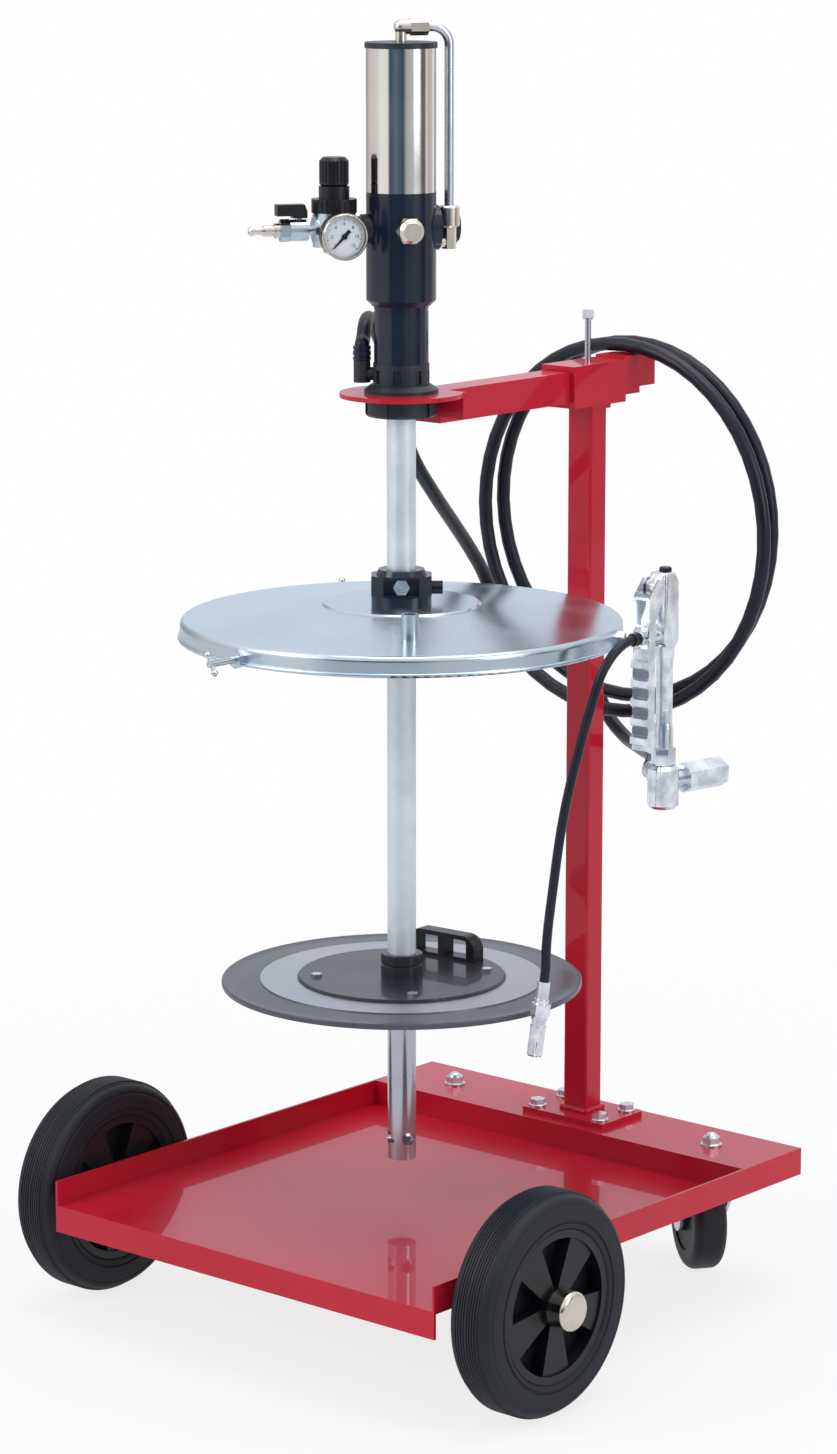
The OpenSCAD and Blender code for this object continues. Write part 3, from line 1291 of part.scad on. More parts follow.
// Ferrule and grease coupler that hang on the short hose: neck, hexagon, banded sleeve and slit jaws
module at_coupler() seat() translate(whip_to) rotate([0, coupler_lean, coupler_lean_turn]) children();
module coupler() color(zinc) at_coupler() difference() {
    union() {
        rotate_extrude() polygon([
            [0, 0], [ferrule_d / 2, 0], [ferrule_d / 2, -ferrule_l],
            [ferrule_d / 2 + groove_d, -ferrule_l], [ferrule_d / 2 + groove_d, coupler_hex_z],
            [coupler_sleeve_d / 2, coupler_hex_z - coupler_hex_l], [coupler_sleeve_d / 2, coupler_band_z],
            [coupler_band_d / 2, coupler_band_z], [coupler_band_d / 2, coupler_band_z - coupler_band_l],
            [coupler_sleeve_d / 2, coupler_band_z - coupler_band_l],
            [coupler_sleeve_d / 2, coupler_end_z + coupler_jaw_l],
            [coupler_jaw_d / 2, coupler_end_z + coupler_jaw_l],
            [coupler_jaw_d / 2, coupler_end_z + groove_w], [coupler_jaw_d / 2 - groove_d, coupler_end_z],
            [0, coupler_end_z]]);
        translate([0, 0, coupler_hex_z - coupler_hex_l]) hex_bar(coupler_hex_d, coupler_hex_l);
    }
    translate([0, 0, coupler_end_z - over]) cylinder(d = coupler_bore, h = coupler_bore_l + over);
    for (turn = [0, 90]) rotate([0, 0, turn])
        translate([-coupler_jaw_d, -coupler_slit / 2, coupler_end_z - over])
        cube([2 * coupler_jaw_d, coupler_slit, coupler_bore_l]);
}

tray();
rear_shelf();
axle();
axle_caps();
tyre_left();
tyre_right();
hub_left();
hub_right();
caster_fork_left();
caster_fork_right();
caster_wheel_left();
caster_wheel_right();
trolley_bolts();
post();
arm_sleeve();
arm();
pump_flange();
lock_nut();
neck();
air_body();
air_cylinder();
cylinder_cap();
pump_piston();
top_elbow();
air_tube();
tube_union();
port_plug();
inlet_adapter();
regulator_body();
regulator_bonnet();
regulator_knob();
gauge_case();
gauge_dial();
gauge_needle();
gauge_lens();
valve_body();
valve_lever();
air_nipple();
suction_tube();
foot_tube();
outlet_elbow();
drum_lid();
lid_clamp();
lid_clamp_bolt();
lid_screw_front();
lid_screw_right();
lid_screw_left();
follower_membrane();
follower_ring();
follower_disc();
follower_bolts();
follower_handle();
gun_body();
gun_trigger();
gun_swivel();
supply_hose();
hose_coil();
hose_tail();
whip_hose();
coupler();
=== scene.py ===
"""Studio scene of a pneumatic grease pump kit on a wheeled drum trolley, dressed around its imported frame."""
import json
import math

import bmesh
import bpy
from mathutils import Matrix, Vector


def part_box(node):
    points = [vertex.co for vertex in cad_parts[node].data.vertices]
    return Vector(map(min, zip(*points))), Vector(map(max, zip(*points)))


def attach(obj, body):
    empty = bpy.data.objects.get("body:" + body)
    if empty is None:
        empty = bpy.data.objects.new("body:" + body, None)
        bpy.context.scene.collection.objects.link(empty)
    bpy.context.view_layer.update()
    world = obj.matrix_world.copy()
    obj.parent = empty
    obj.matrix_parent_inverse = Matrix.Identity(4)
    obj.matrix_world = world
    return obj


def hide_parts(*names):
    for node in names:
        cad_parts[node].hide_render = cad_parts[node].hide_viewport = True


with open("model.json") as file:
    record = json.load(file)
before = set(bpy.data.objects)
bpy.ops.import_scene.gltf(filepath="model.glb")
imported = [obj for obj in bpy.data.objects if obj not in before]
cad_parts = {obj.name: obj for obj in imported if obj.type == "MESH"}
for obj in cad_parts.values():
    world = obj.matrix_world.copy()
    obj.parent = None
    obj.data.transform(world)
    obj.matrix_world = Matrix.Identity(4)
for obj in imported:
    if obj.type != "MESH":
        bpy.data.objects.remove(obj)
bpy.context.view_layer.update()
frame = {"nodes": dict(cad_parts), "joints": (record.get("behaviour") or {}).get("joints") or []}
nodes = frame["nodes"]
joints = {joint["name"]: joint for joint in frame["joints"]}

MM = 0.001
ROOT = "trolley"
PUMP_AXIS = sum(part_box("suction_tube"), Vector()) / 2
# The places below are in mm from the pump's axis and the floor, and the angles in degrees
GUN_X, GUN_Y = 228, 90
BOSS_Z, BOSS_LONG = 653, 38

# The photo's camera
CAMERA_PLACE = (2540.45, -2926.0, 1339.37)
CAMERA_DOWN, CAMERA_TURN = 11.48, 40.74
FOCAL_LENGTH, SENSOR_WIDTH = 108.75, 36  # mm
CLIP_END = 50  # m

# Softboxes: name, place and target in m, width and height in m, power in W, colour
SOFTBOXES = [
    ("key_softbox", (-1.6, -3.2, 2.9), (0, 0, 0.55), (1.6, 2.4), 54, (1.0, 0.985, 0.96)),
    ("right_softbox", (3.4, 0.2, 1.9), (0, 0, 0.6), (1.4, 2.2), 30, (0.95, 0.98, 1.0)),
    ("top_softbox", (0.2, 0.4, 3.6), (0, 0, 0.4), (2.2, 2.2), 40, (1, 1, 1)),
]

# The studio's light, and how far its walls are turned. They turn into a white ceiling over a rise, which is 0
# at level and 1 straight up.
STUDIO_COLOUR, STUDIO_STRENGTH = (0.93, 0.96, 1.0, 1), 0.62
STUDIO_TURN = 49.2
CEILING = (0.2, 0.6)
# What metal sees round the studio: degrees from the camera's side, turning to its right, and the colour
# there. The first two are the ends of the colour ramp.
STUDIO_WALLS = [
    (-180, (0.78, 0.84, 0.95)), (180, (0.78, 0.84, 0.95)), (-168, (0.8, 0.83, 0.9)),
    (-156, (0.42, 0.37, 0.35)), (-140, (0.5, 0.45, 0.43)), (-128, (0.74, 0.67, 0.65)),
    (-80, (0.84, 0.79, 0.77)), (-74, (1, 1, 1)),
    (-44, (0.94, 0.94, 0.94)), (-38, (0.05, 0.07, 0.11)), (-18, (0.13, 0.18, 0.27)), (8, (0.05, 0.07, 0.1)),
    (18, (0.5, 0.5, 0.51)), (50, (0.62, 0.61, 0.61)), (68, (0.42, 0.4, 0.39)), (73, (0.12, 0.1, 0.1)),
    (86, (0.2, 0.17, 0.16)), (91, (1, 1, 1)), (98, (0.6, 0.53, 0.51)), (120, (0.66, 0.6, 0.58)),
    (127, (0.95, 0.94, 0.93)), (165, (0.8, 0.83, 0.9)),
]

# The floor in m, and its colour as it is and in mirrors. The camera sees a share of pure white, which grows
# to 1 over a fade in m from the middle; mirrors see another share of the mirrored colour.
FLOOR_RADIUS, FLOOR_BELOW = 4.5, 0.0004
FLOOR_COLOUR, FLOOR_MIRRORED = (0.86, 0.87, 0.88, 1), (0.8, 0.8, 0.82, 1)
FLOOR_FADE = (0.5, 2.2)
FLOOR_WHITE_SHARE, FLOOR_MIRROR_SHARE = 0.8, 0.8


def at(x, y, z):
    """A point measured from the pump's axis and the floor, mm, as a point of the frame, m."""
    return Vector((PUMP_AXIS.x + x * MM, PUMP_AXIS.y + y * MM, z * MM))


def level_way(turn):
    """A level direction, turned by an angle in degrees from the trolley's right towards its back."""
    return Vector((math.cos(math.radians(turn)), math.sin(math.radians(turn)), 0))


# ---------------------------------------------------------------- camera, light and floor
def add_camera():
    """The camera that took the photo."""
    data = bpy.data.cameras.new("photo_view")
    data.lens = FOCAL_LENGTH
    data.sensor_width = SENSOR_WIDTH
    data.clip_end = CLIP_END
    camera = bpy.data.objects.new("photo_view", data)
    camera.location = at(*CAMERA_PLACE)
    camera.rotation_euler = (math.radians(90 - CAMERA_DOWN), 0, math.radians(CAMERA_TURN))
    bpy.context.scene.collection.objects.link(camera)
    bpy.context.scene.camera = camera


def add_softbox(name, place, target, size, power, tint):
    """A rectangular lamp at a place, aimed at a target."""
    data = bpy.data.lights.new(name, "AREA")
    data.shape = "RECTANGLE"
    data.size, data.size_y = size
    data.energy = power
    data.color = tint
    lamp = bpy.data.objects.new(name, data)
    lamp.location = place
    aim = Vector(target) - Vector(place)
    lamp.rotation_euler = aim.to_track_quat("-Z", "Y").to_euler()
    bpy.context.scene.collection.objects.link(lamp)


def wire(tree, source, target):
    """Links an output to an input of a node tree."""
    tree.links.new(source, target)


def combine(tree, operation, first, second):
    """A Math node on two outputs, or on an output and a number."""
    node = tree.nodes.new("ShaderNodeMath")
    node.operation = operation
    wire(tree, first, node.inputs[0])
    if isinstance(second, float):
        node.inputs[1].default_value = second
    else:
        wire(tree, second, node.inputs[1])
    return node.outputs[0]


def map_range(tree, source, start, end, low=0, high=1, curve="LINEAR"):
    """Maps a value that runs from start to end onto low to high."""
    node = tree.nodes.new("ShaderNodeMapRange")
    node.interpolation_type = curve
    for title, value in (("From Min", start), ("From Max", end), ("To Min", low), ("To Max", high)):
        node.inputs[title].default_value = value
    wire(tree, source, node.inputs["Value"])
    return node.outputs["Result"]


def mix_shaders(tree, share, first, second):
    """The first shader at share 0, the second at share 1."""
    node = tree.nodes.new("ShaderNodeMixShader")
    wire(tree, share, node.inputs["Fac"])
    wire(tree, first, node.inputs[1])
    wire(tree, second, node.inputs[2])
    return node.outputs[0]


def add_world():
    """Even studio light, white to the camera; metal sees a studio with pale walls and one dark side."""
    world = bpy.data.worlds.new("studio")
    world.use_nodes = True
    tree = world.node_tree
    tree.nodes.clear()
    light = tree.nodes.new("ShaderNodeBackground")
    light.inputs["Color"].default_value = STUDIO_COLOUR
    light.inputs["Strength"].default_value = STUDIO_STRENGTH
    path = tree.nodes.new("ShaderNodeLightPath")
    where = tree.nodes.new("ShaderNodeTexCoord")
    turn = tree.nodes.new("ShaderNodeMapping")
    turn.inputs["Rotation"].default_value = (0, 0, math.radians(STUDIO_TURN))
    around = tree.nodes.new("ShaderNodeTexGradient")
    around.gradient_type = "RADIAL"
    walls = tree.nodes.new("ShaderNodeValToRGB")
    stops = walls.color_ramp.elements
    for i, (way, colour) in enumerate(STUDIO_WALLS):
        share = way / 360 + 0.5
        stop = stops[i] if i < 2 else stops.new(share)
        stop.position = share
        stop.color = (*colour, 1)
    height = tree.nodes.new("ShaderNodeSeparateXYZ")
    wire(tree, where.outputs["Generated"], turn.inputs["Vector"])
    wire(tree, turn.outputs["Vector"], around.inputs["Vector"])
    wire(tree, around.outputs["Fac"], walls.inputs["Fac"])
    wire(tree, where.outputs["Generated"], height.inputs["Vector"])
    ceiling = map_range(tree, height.outputs["Z"], *CEILING, curve="SMOOTHSTEP")
    room = tree.nodes.new("ShaderNodeMix")
    room.data_type = "RGBA"
    room.inputs["B"].default_value = (1, 1, 1, 1)
    wire(tree, combine(tree, "MAXIMUM", ceiling, path.outputs["Is Camera Ray"]), room.inputs["Factor"])
    wire(tree, walls.outputs["Color"], room.inputs["A"])
    seen = tree.nodes.new("ShaderNodeBackground")
    wire(tree, room.outputs["Result"], seen.inputs["Color"])
    eye_or_mirror = combine(tree, "MAXIMUM", path.outputs["Is Camera Ray"], path.outputs["Is Glossy Ray"])
    sees_room = combine(tree, "MAXIMUM", eye_or_mirror, path.outputs["Is Transmission Ray"])
    out = tree.nodes.new("ShaderNodeOutputWorld")
    wire(tree, mix_shaders(tree, sees_room, light.outputs[0], seen.outputs[0]), out.inputs["Surface"])
    bpy.context.scene.world = world


def add_floor():
    """White floor: it keeps the trolley's shadow and runs out into the white of the studio."""
    shape = bmesh.new()
    bmesh.ops.create_circle(shape, cap_ends=True, segments=96, radius=FLOOR_RADIUS)
    mesh = bpy.data.meshes.new("studio_floor")
    shape.to_mesh(mesh)
    shape.free()
    floor = bpy.data.objects.new("studio_floor", mesh)
    floor.location.z = -FLOOR_BELOW
    bpy.context.scene.collection.objects.link(floor)
    finish = bpy.data.materials.new("studio_floor_white")
    finish.use_nodes = True
    tree = finish.node_tree
    tree.nodes.clear()
    matt = tree.nodes.new("ShaderNodeBsdfDiffuse")
    matt.inputs["Color"].default_value = FLOOR_COLOUR
    white = tree.nodes.new("ShaderNodeEmission")
    white.inputs["Strength"].default_value = 1
    mirrored = tree.nodes.new("ShaderNodeEmission")
    mirrored.inputs["Color"].default_value = FLOOR_MIRRORED
    path = tree.nodes.new("ShaderNodeLightPath")
    where = tree.nodes.new("ShaderNodeTexCoord")
    away = tree.nodes.new("ShaderNodeVectorMath")
    away.operation = "LENGTH"
    wire(tree, where.outputs["Object"], away.inputs[0])
    fade = map_range(tree, away.outputs["Value"], *FLOOR_FADE, low=FLOOR_WHITE_SHARE, curve="SMOOTHSTEP")
    white_share = combine(tree, "MULTIPLY", path.outputs["Is Camera Ray"], fade)
    seen = mix_shaders(tree, white_share, matt.outputs[0], white.outputs[0])
    mirror = combine(tree, "MAXIMUM", path.outputs["Is Glossy Ray"], path.outputs["Is Transmission Ray"])
    mirror_share = combine(tree, "MULTIPLY", mirror, FLOOR_MIRROR_SHARE)
    out = tree.nodes.new("ShaderNodeOutputMaterial")
    wire(tree, mix_shaders(tree, mirror_share, seen, mirrored.outputs[0]), out.inputs["Surface"])
    floor.data.materials.append(finish)


# ---------------------------------------------------------------- effects shared by the finishes
def new_group(name, inputs, outputs):
    """An empty node group with float inputs (name, value) and outputs (name, kind)."""
    group = bpy.data.node_groups.new(name, "ShaderNodeTree")
    for title, value in inputs:
        socket = group.interface.new_socket(title, in_out="INPUT", socket_type="NodeSocketFloat")
        socket.default_value = value
    for title, kind in outputs:
        group.interface.new_socket(title, in_out="OUTPUT", socket_type=kind)
    return group, group.nodes.new("NodeGroupInput"), group.nodes.new("NodeGroupOutput")


def make_cloud_group():
    """Slow clouds and fine specks on Object coordinates, both between 0 and 1."""
    group, given, out = new_group(
        "soft_clouds", [("Cloud scale", 6), ("Speck scale", 400)],
        [("Clouds", "NodeSocketFloat"), ("Specks", "NodeSocketFloat")])
    where = group.nodes.new("ShaderNodeTexCoord")
    for title, scale, detail in (("Clouds", "Cloud scale", 3), ("Specks", "Speck scale", 1)):
        noise = group.nodes.new("ShaderNodeTexNoise")
        noise.inputs["Detail"].default_value = detail
        wire(group, where.outputs["Object"], noise.inputs["Vector"])
        wire(group, given.outputs[scale], noise.inputs["Scale"])
        wire(group, noise.outputs["Fac"], out.inputs[title])
    return group


def make_streak_group():
    """Fine drawing or turning lines, stretched by the three factors."""
    group, given, out = new_group(
        "drawn_streaks", [("X", 1), ("Y", 1), ("Z", 1), ("Scale", 200)], [("Streaks", "NodeSocketFloat")])
    where = group.nodes.new("ShaderNodeTexCoord")
    stretch = group.nodes.new("ShaderNodeMapping")
    factors = group.nodes.new("ShaderNodeCombineXYZ")
    noise = group.nodes.new("ShaderNodeTexNoise")
    noise.inputs["Detail"].default_value = 2
    for axis in "XYZ":
        wire(group, given.outputs[axis], factors.inputs[axis])
    wire(group, where.outputs["Object"], stretch.inputs["Vector"])
    wire(group, factors.outputs[0], stretch.inputs["Scale"])
    wire(group, stretch.outputs[0], noise.inputs["Vector"])
    wire(group, given.outputs["Scale"], noise.inputs["Scale"])
    wire(group, noise.outputs["Fac"], out.inputs["Streaks"])
    return group


CLOUDS = make_cloud_group()
STREAKS = make_streak_group()
CLOUD_SPAN = (0.35, 0.65)  # nearly all of the noise lies between these
BUMP_REACH = 0.0004  # m


def place_group(tree, group, **values):
    """Puts a node group into a material, with its own values; an underscore stands for a space."""
    node = tree.nodes.new("ShaderNodeGroup")
    node.node_tree = group
    for title, value in values.items():
        node.inputs[title.replace("_", " ")].default_value = value
    return node


def spread(tree, source, low, high):
    """Spreads the clouds' values over a range."""
    return map_range(tree, source, *CLOUD_SPAN, low, high)


def blend_colours(tree, source, first, second):
    """The first colour where the source is 0, the second where it is 1."""
    node = tree.nodes.new("ShaderNodeMix")
    node.data_type = "RGBA"
    node.inputs["A"].default_value = (*first, 1)
    node.inputs["B"].default_value = (*second, 1)
    wire(tree, source, node.inputs["Factor"])
    return node.outputs["Result"]


def make_finish(name, colour, second, rough, metal=0.0, cloud=6.0, speck=400.0, bump=0.0,
                streak=None, streak_amount=0.0, coat=0.0, coat_rough=0.05, specular=0.5):
    """A procedural finish: two close colours in clouds, a roughness range, fine bump and drawing lines."""
    finish = bpy.data.materials.new(name)
    finish.use_nodes = True
    tree = finish.node_tree
    shader = tree.nodes["Principled BSDF"]
    clouds = place_group(tree, CLOUDS, Cloud_scale=cloud, Speck_scale=speck)
    shade = clouds.outputs["Clouds"]
    wire(tree, blend_colours(tree, spread(tree, shade, 0, 1), colour, second), shader.inputs["Base Color"])
    wire(tree, spread(tree, shade, rough[0], rough[1]), shader.inputs["Roughness"])
    shader.inputs["Metallic"].default_value = metal
    shader.inputs["Coat Weight"].default_value = coat
    shader.inputs["Coat Roughness"].default_value = coat_rough
    shader.inputs["Specular IOR Level"].default_value = specular
    if bump:
        height = clouds.outputs["Specks"]
        if streak:
            lines = place_group(tree, STREAKS, X=streak[0], Y=streak[1], Z=streak[2], Scale=streak[3])
            both = tree.nodes.new("ShaderNodeMix")
            both.inputs["Factor"].default_value = streak_amount
            wire(tree, height, both.inputs["A"])
            wire(tree, lines.outputs["Streaks"], both.inputs["B"])
            height = both.outputs["Result"]
        relief = tree.nodes.new("ShaderNodeBump")
        relief.inputs["Strength"].default_value = bump
        relief.inputs["Distance"].default_value = BUMP_REACH
        wire(tree, height, relief.inputs["Height"])
        wire(tree, relief.outputs["Normal"], shader.inputs["Normal"])
    return finish


RED = make_finish("red_powder_coat", (0.50, 0.007, 0.025), (0.55, 0.010, 0.033), (0.3, 0.38),
                  cloud=4, speck=260, bump=0.02, coat=0.5, coat_rough=0.015, specular=0.12)
TYRE = make_finish("tyre_rubber", (0.006, 0.008, 0.014), (0.011, 0.014, 0.022), (0.5, 0.62),
                   cloud=9, speck=700, bump=0.18, specular=0.35)
HUB = make_finish("hub_plastic", (0.004, 0.005, 0.008), (0.007, 0.008, 0.012), (0.34, 0.44),
                  cloud=12, speck=900, bump=0.12, specular=0.4)
CASTER = make_finish("caster_rubber", (0.005, 0.007, 0.012), (0.009, 0.011, 0.018), (0.42, 0.55),
                     cloud=12, speck=900, bump=0.12, specular=0.35)
ZINC = make_finish("zinc_plate", (0.56, 0.60, 0.66), (0.66, 0.69, 0.74), (0.2, 0.32), metal=1.0,
                   cloud=22, speck=500, bump=0.06)
CHROME = make_finish("chrome_plate", (0.70, 0.69, 0.67), (0.76, 0.75, 0.73), (0.07, 0.15), metal=1.0,
                     cloud=14, speck=600, bump=0.03)
CASTING = make_finish("plated_casting", (0.90, 0.94, 0.99), (0.60, 0.65, 0.73), (0.1, 0.28), metal=0.9,
                      cloud=75, speck=420, bump=0.2)
STEEL = make_finish("drawn_steel", (0.50, 0.54, 0.62), (0.58, 0.61, 0.69), (0.14, 0.22), metal=0.7,
                    cloud=12, speck=500, bump=0.03)
LID_ZINC = make_finish("lid_zinc", (0.50, 0.60, 0.68), (0.56, 0.66, 0.74), (0.2, 0.3), metal=1.0,
                       cloud=11, speck=320, bump=0.04)
TUBE_ZINC = make_finish("tube_zinc", (0.68, 0.73, 0.78), (0.80, 0.85, 0.89), (0.3, 0.44), metal=0.45,
                        cloud=30, speck=500, bump=0.14, streak=(1, 1, 0.06, 260), streak_amount=0.6)
ANODISED = make_finish("black_anodised", (0.009, 0.014, 0.029), (0.014, 0.021, 0.039), (0.14, 0.2),
                       cloud=10, speck=700, bump=0.02, specular=0.4)
BLACK = make_finish("black_plastic", (0.008, 0.009, 0.013), (0.013, 0.014, 0.020), (0.26, 0.36),
                    cloud=14, speck=800, bump=0.1, specular=0.35)
NICKEL = make_finish("nickel_plate", (0.66, 0.61, 0.54), (0.74, 0.69, 0.62), (0.16, 0.26), metal=1.0,
                     cloud=40, speck=800, bump=0.05)
AIR_TUBE = make_finish("air_tube_metal", (0.56, 0.60, 0.66), (0.68, 0.71, 0.76), (0.2, 0.3), metal=1.0,
                       cloud=30, speck=700, bump=0.06)
HOSE = make_finish("hose_cover", (0.005, 0.008, 0.017), (0.008, 0.012, 0.024), (0.3, 0.4),
                   cloud=18, speck=1100, bump=0.15, specular=0.32)
MEMBRANE = make_finish("membrane_rubber", (0.060, 0.067, 0.085), (0.085, 0.092, 0.112), (0.24, 0.34),
                       cloud=7, speck=500, bump=0.06, specular=0.4)
RING = make_finish("follower_steel", (0.42, 0.44, 0.48), (0.49, 0.51, 0.55), (0.3, 0.42), metal=1.0,
                   cloud=9, speck=450, bump=0.08)
DISC = make_finish("disc_paint", (0.028, 0.031, 0.040), (0.036, 0.040, 0.050), (0.3, 0.4),
                   cloud=8, speck=600, bump=0.03, coat=0.36, coat_rough=0.02, specular=0.15)
# Painted shade: the darker colour of the hollows between the grip's ribs, laid on thin inserts
PAINTED_RECESS_SHADE = make_finish("recess_shade", (0.17, 0.18, 0.24), (0.25, 0.26, 0.33), (0.35, 0.45),
                     cloud=90, speck=700)
CAST_BLACK = make_finish("black_cast_iron", (0.015, 0.023, 0.031), (0.024, 0.033, 0.042), (0.34, 0.44),
                         cloud=60, speck=600, bump=0.14, specular=0.35)
DIAL = make_finish("dial_print", (0.86, 0.87, 0.90), (0.90, 0.91, 0.93), (0.4, 0.5), cloud=20)
INK = make_finish("dial_ink", (0.01, 0.01, 0.012), (0.015, 0.015, 0.018), (0.45, 0.55), cloud=20)


def make_lens():
    """Thin clear glass, which hardly bends the light."""
    finish = bpy.data.materials.new("gauge_glass")
    finish.use_nodes = True
    shader = finish.node_tree.nodes["Principled BSDF"]
    shader.inputs["Base Color"].default_value = (0.95, 0.97, 0.98, 1)
    shader.inputs["Roughness"].default_value = 0.03
    shader.inputs["Transmission Weight"].default_value = 1.0
    shader.inputs["IOR"].default_value = 1.02
    return finish


LENS = make_lens()

FINISH_OF = {
    RED: "tray rear_shelf post arm_sleeve arm",
    TYRE: "tyre_left tyre_right",
    HUB: "hub_left hub_right",
    CASTER: "caster_wheel_left caster_wheel_right",
    ZINC: "axle caster_fork_left caster_fork_right trolley_bolts lid_screw_front "
          "lid_screw_right lid_screw_left follower_bolts",
    CHROME: "air_cylinder pump_piston",
    CASTING: "gun_body gun_trigger gun_swivel coupler lid_clamp_bolt",
    STEEL: "foot_tube",
    LID_ZINC: "drum_lid regulator_body valve_body",
    TUBE_ZINC: "suction_tube",
    ANODISED: "neck air_body lid_clamp",
    CAST_BLACK: "pump_flange lock_nut outlet_elbow cylinder_cap",
    BLACK: "inlet_adapter regulator_bonnet regulator_knob gauge_case gauge_needle valve_lever "
           "follower_handle",
    NICKEL: "axle_caps top_elbow tube_union port_plug air_nipple",
    AIR_TUBE: "air_tube",
    HOSE: "supply_hose hose_coil hose_tail whip_hose",
    MEMBRANE: "follower_membrane",
    RING: "follower_ring",
    DISC: "follower_disc",
    DIAL: "gauge_dial",
    LENS: "gauge_lens",
}


def dress_nodes():
    """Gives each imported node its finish."""
    for finish, names in FINISH_OF.items():
        for name in names.split():
            nodes[name].data.materials.clear()
            nodes[name].data.materials.append(finish)


# ---------------------------------------------------------------- hoses
HOSE_WIDE = 13.0
WHIP_WIDE = 8.5
STEPS_BETWEEN = 8
OUTLET_TURN, OUTLET_REACH, OUTLET_Z = 215, 35, 883.5
OUTLET = OUTLET_REACH * level_way(OUTLET_TURN) + Vector((0, 0, OUTLET_Z))
SWIVEL_TURN, SWIVEL_REACH, SWIVEL_Z = 141, 26, 520
SWIVEL_WAY = level_way(SWIVEL_TURN)
SWIVEL_PORT = Vector((GUN_X, GUN_Y, SWIVEL_Z)) + SWIVEL_REACH * SWIVEL_WAY
BOSS_END = Vector((GUN_X, GUN_Y - BOSS_LONG, BOSS_Z))
COUPLER_TOP = Vector((184, -21, 352))
COUPLER_TIP, COUPLER_TURN = 7, 41  # tipped from upright, towards this turn

# The coil hangs from the saddle's top; with each loop it gets smaller and lies further back
COIL_START, COIL_TURNS = 230, 2.03
COIL_RADIUS, COIL_TIGHTENS = 175, 6
COIL_FRONT, COIL_GOES_BACK = 303, 20
COIL_TOP = 871
COIL_STEPS = 48  # in each loop
SOLID_COIL_STEPS = 49  # in the whole coil of the solid hose

# The hoses' routes where they aren't coiled, laid over the photo. Their points lie up to 22 mm from
# the routes of the solid hoses, which were made earlier.
SUPPLY_ROUTE = [(-32, -15, 900), (-40, -3, 912), (-54, 18, 916), (-67, 44, 900), (-72, 66, 862),
                (-73, 80, 820), (-76, 104, 779), (-87, 146, 740), (-105, 197, 703), (-119, 238, 672),
                (-127, 266, 646), (-129, 284, 616)]
TAIL_ROUTE = [(-48, 343, 532), (-30, 339, 507), (-4, 330, 493), (32, 306, 491), (68, 272, 496),
              (106, 230, 505), (146, 182, 514)]
WHIP_ROUTE = [(228, 24, 648), (225, 7, 631), (221, -3, 603), (214, -13, 560), (205, -21, 505),
              (196, -24, 440), (188, -23, 385)]


def coil_point(turn):
    """Centre of the coil at an angle in degrees."""
    loops = (turn - COIL_START) / 360
    radius = COIL_RADIUS - COIL_TIGHTENS * loops
    a = math.radians(turn)
    return Vector((radius * math.cos(a), COIL_FRONT + COIL_GOES_BACK * loops,
                   COIL_TOP - radius + radius * math.sin(a)))


def smooth_route(start, leave, points, arrive, end, wide):
    """A curve like the solid hoses': straight for a width at both ends, smooth through the route's points."""
    line = [start + wide * leave, *(Vector(p) for p in points), end - wide * arrive]
    ways = [leave.copy()]
    for i in range(1, len(line) - 1):
        before, after = line[i] - line[i - 1], line[i + 1] - line[i]
        ways.append((after.normalized() * before.length + before.normalized() * after.length).normalized())
    ways.append(arrive.copy())
    out = [start.copy()]
    for i in range(len(line) - 1):
        reach = (line[i + 1] - line[i]).length
        for k in range(STEPS_BETWEEN):
            t = k / STEPS_BETWEEN
            out.append((2 * t**3 - 3 * t**2 + 1) * line[i] + (t**3 - 2 * t**2 + t) * reach * ways[i]
                       + (3 * t**2 - 2 * t**3) * line[i + 1] + (t**3 - t**2) * reach * ways[i + 1])
    return [*out, line[-1], end.copy()]


def long_hose_line():
    """The long hose from the outlet over the saddle, through the coil and along the tail to the swivel."""
    sweep = 360 * COIL_TURNS
    last_turn = COIL_START + sweep
    steps = round(COIL_STEPS * COIL_TURNS)
    coil = [coil_point(COIL_START + sweep * i / steps) for i in range(steps + 1)]
    solid_step = sweep / SOLID_COIL_STEPS
    go_in = (coil_point(COIL_START + solid_step) - coil[0]).normalized()
    go_out = (coil[-1] - coil_point(last_turn - solid_step)).normalized()
    coil_in, coil_out = coil[0] - HOSE_WIDE * go_in, coil[-1] + HOSE_WIDE * go_out
    supply = smooth_route(OUTLET, Vector((0, 0, 1)), SUPPLY_ROUTE, go_in, coil_in, HOSE_WIDE)
    tail = smooth_route(coil_out, go_out, TAIL_ROUTE, -SWIVEL_WAY, SWIVEL_PORT, HOSE_WIDE)
    return [*supply, *coil, *tail]


def short_hose_line():
    """The short hose from the gun's boss down to the coupler."""
    tip = math.radians(COUPLER_TIP)
    arrive = -math.sin(tip) * level_way(COUPLER_TURN) - math.cos(tip) * Vector((0, 0, 1))
    return smooth_route(BOSS_END, Vector((0, -1, 0)), WHIP_ROUTE, arrive, COUPLER_TOP, WHIP_WIDE)


def lay_hose(name, line, wide):
    """A round hose along a line of points in mm."""
    data = bpy.data.curves.new(name, "CURVE")
    data.dimensions = "3D"
    data.bevel_depth = wide * MM / 2
    data.bevel_resolution = 5
    data.use_fill_caps = True
    data.resolution_u = 1
    data.render_resolution_u = 0
    spline = data.splines.new("POLY")
    spline.points.add(len(line) - 1)
    for point, place in zip(spline.points, line):
        point.co = (*at(*place), 1)
    spline.use_smooth = True
    data.materials.append(HOSE)
    hose = bpy.data.objects.new(name, data)
    bpy.context.scene.collection.objects.link(hose)
    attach(hose, ROOT)
    return hose


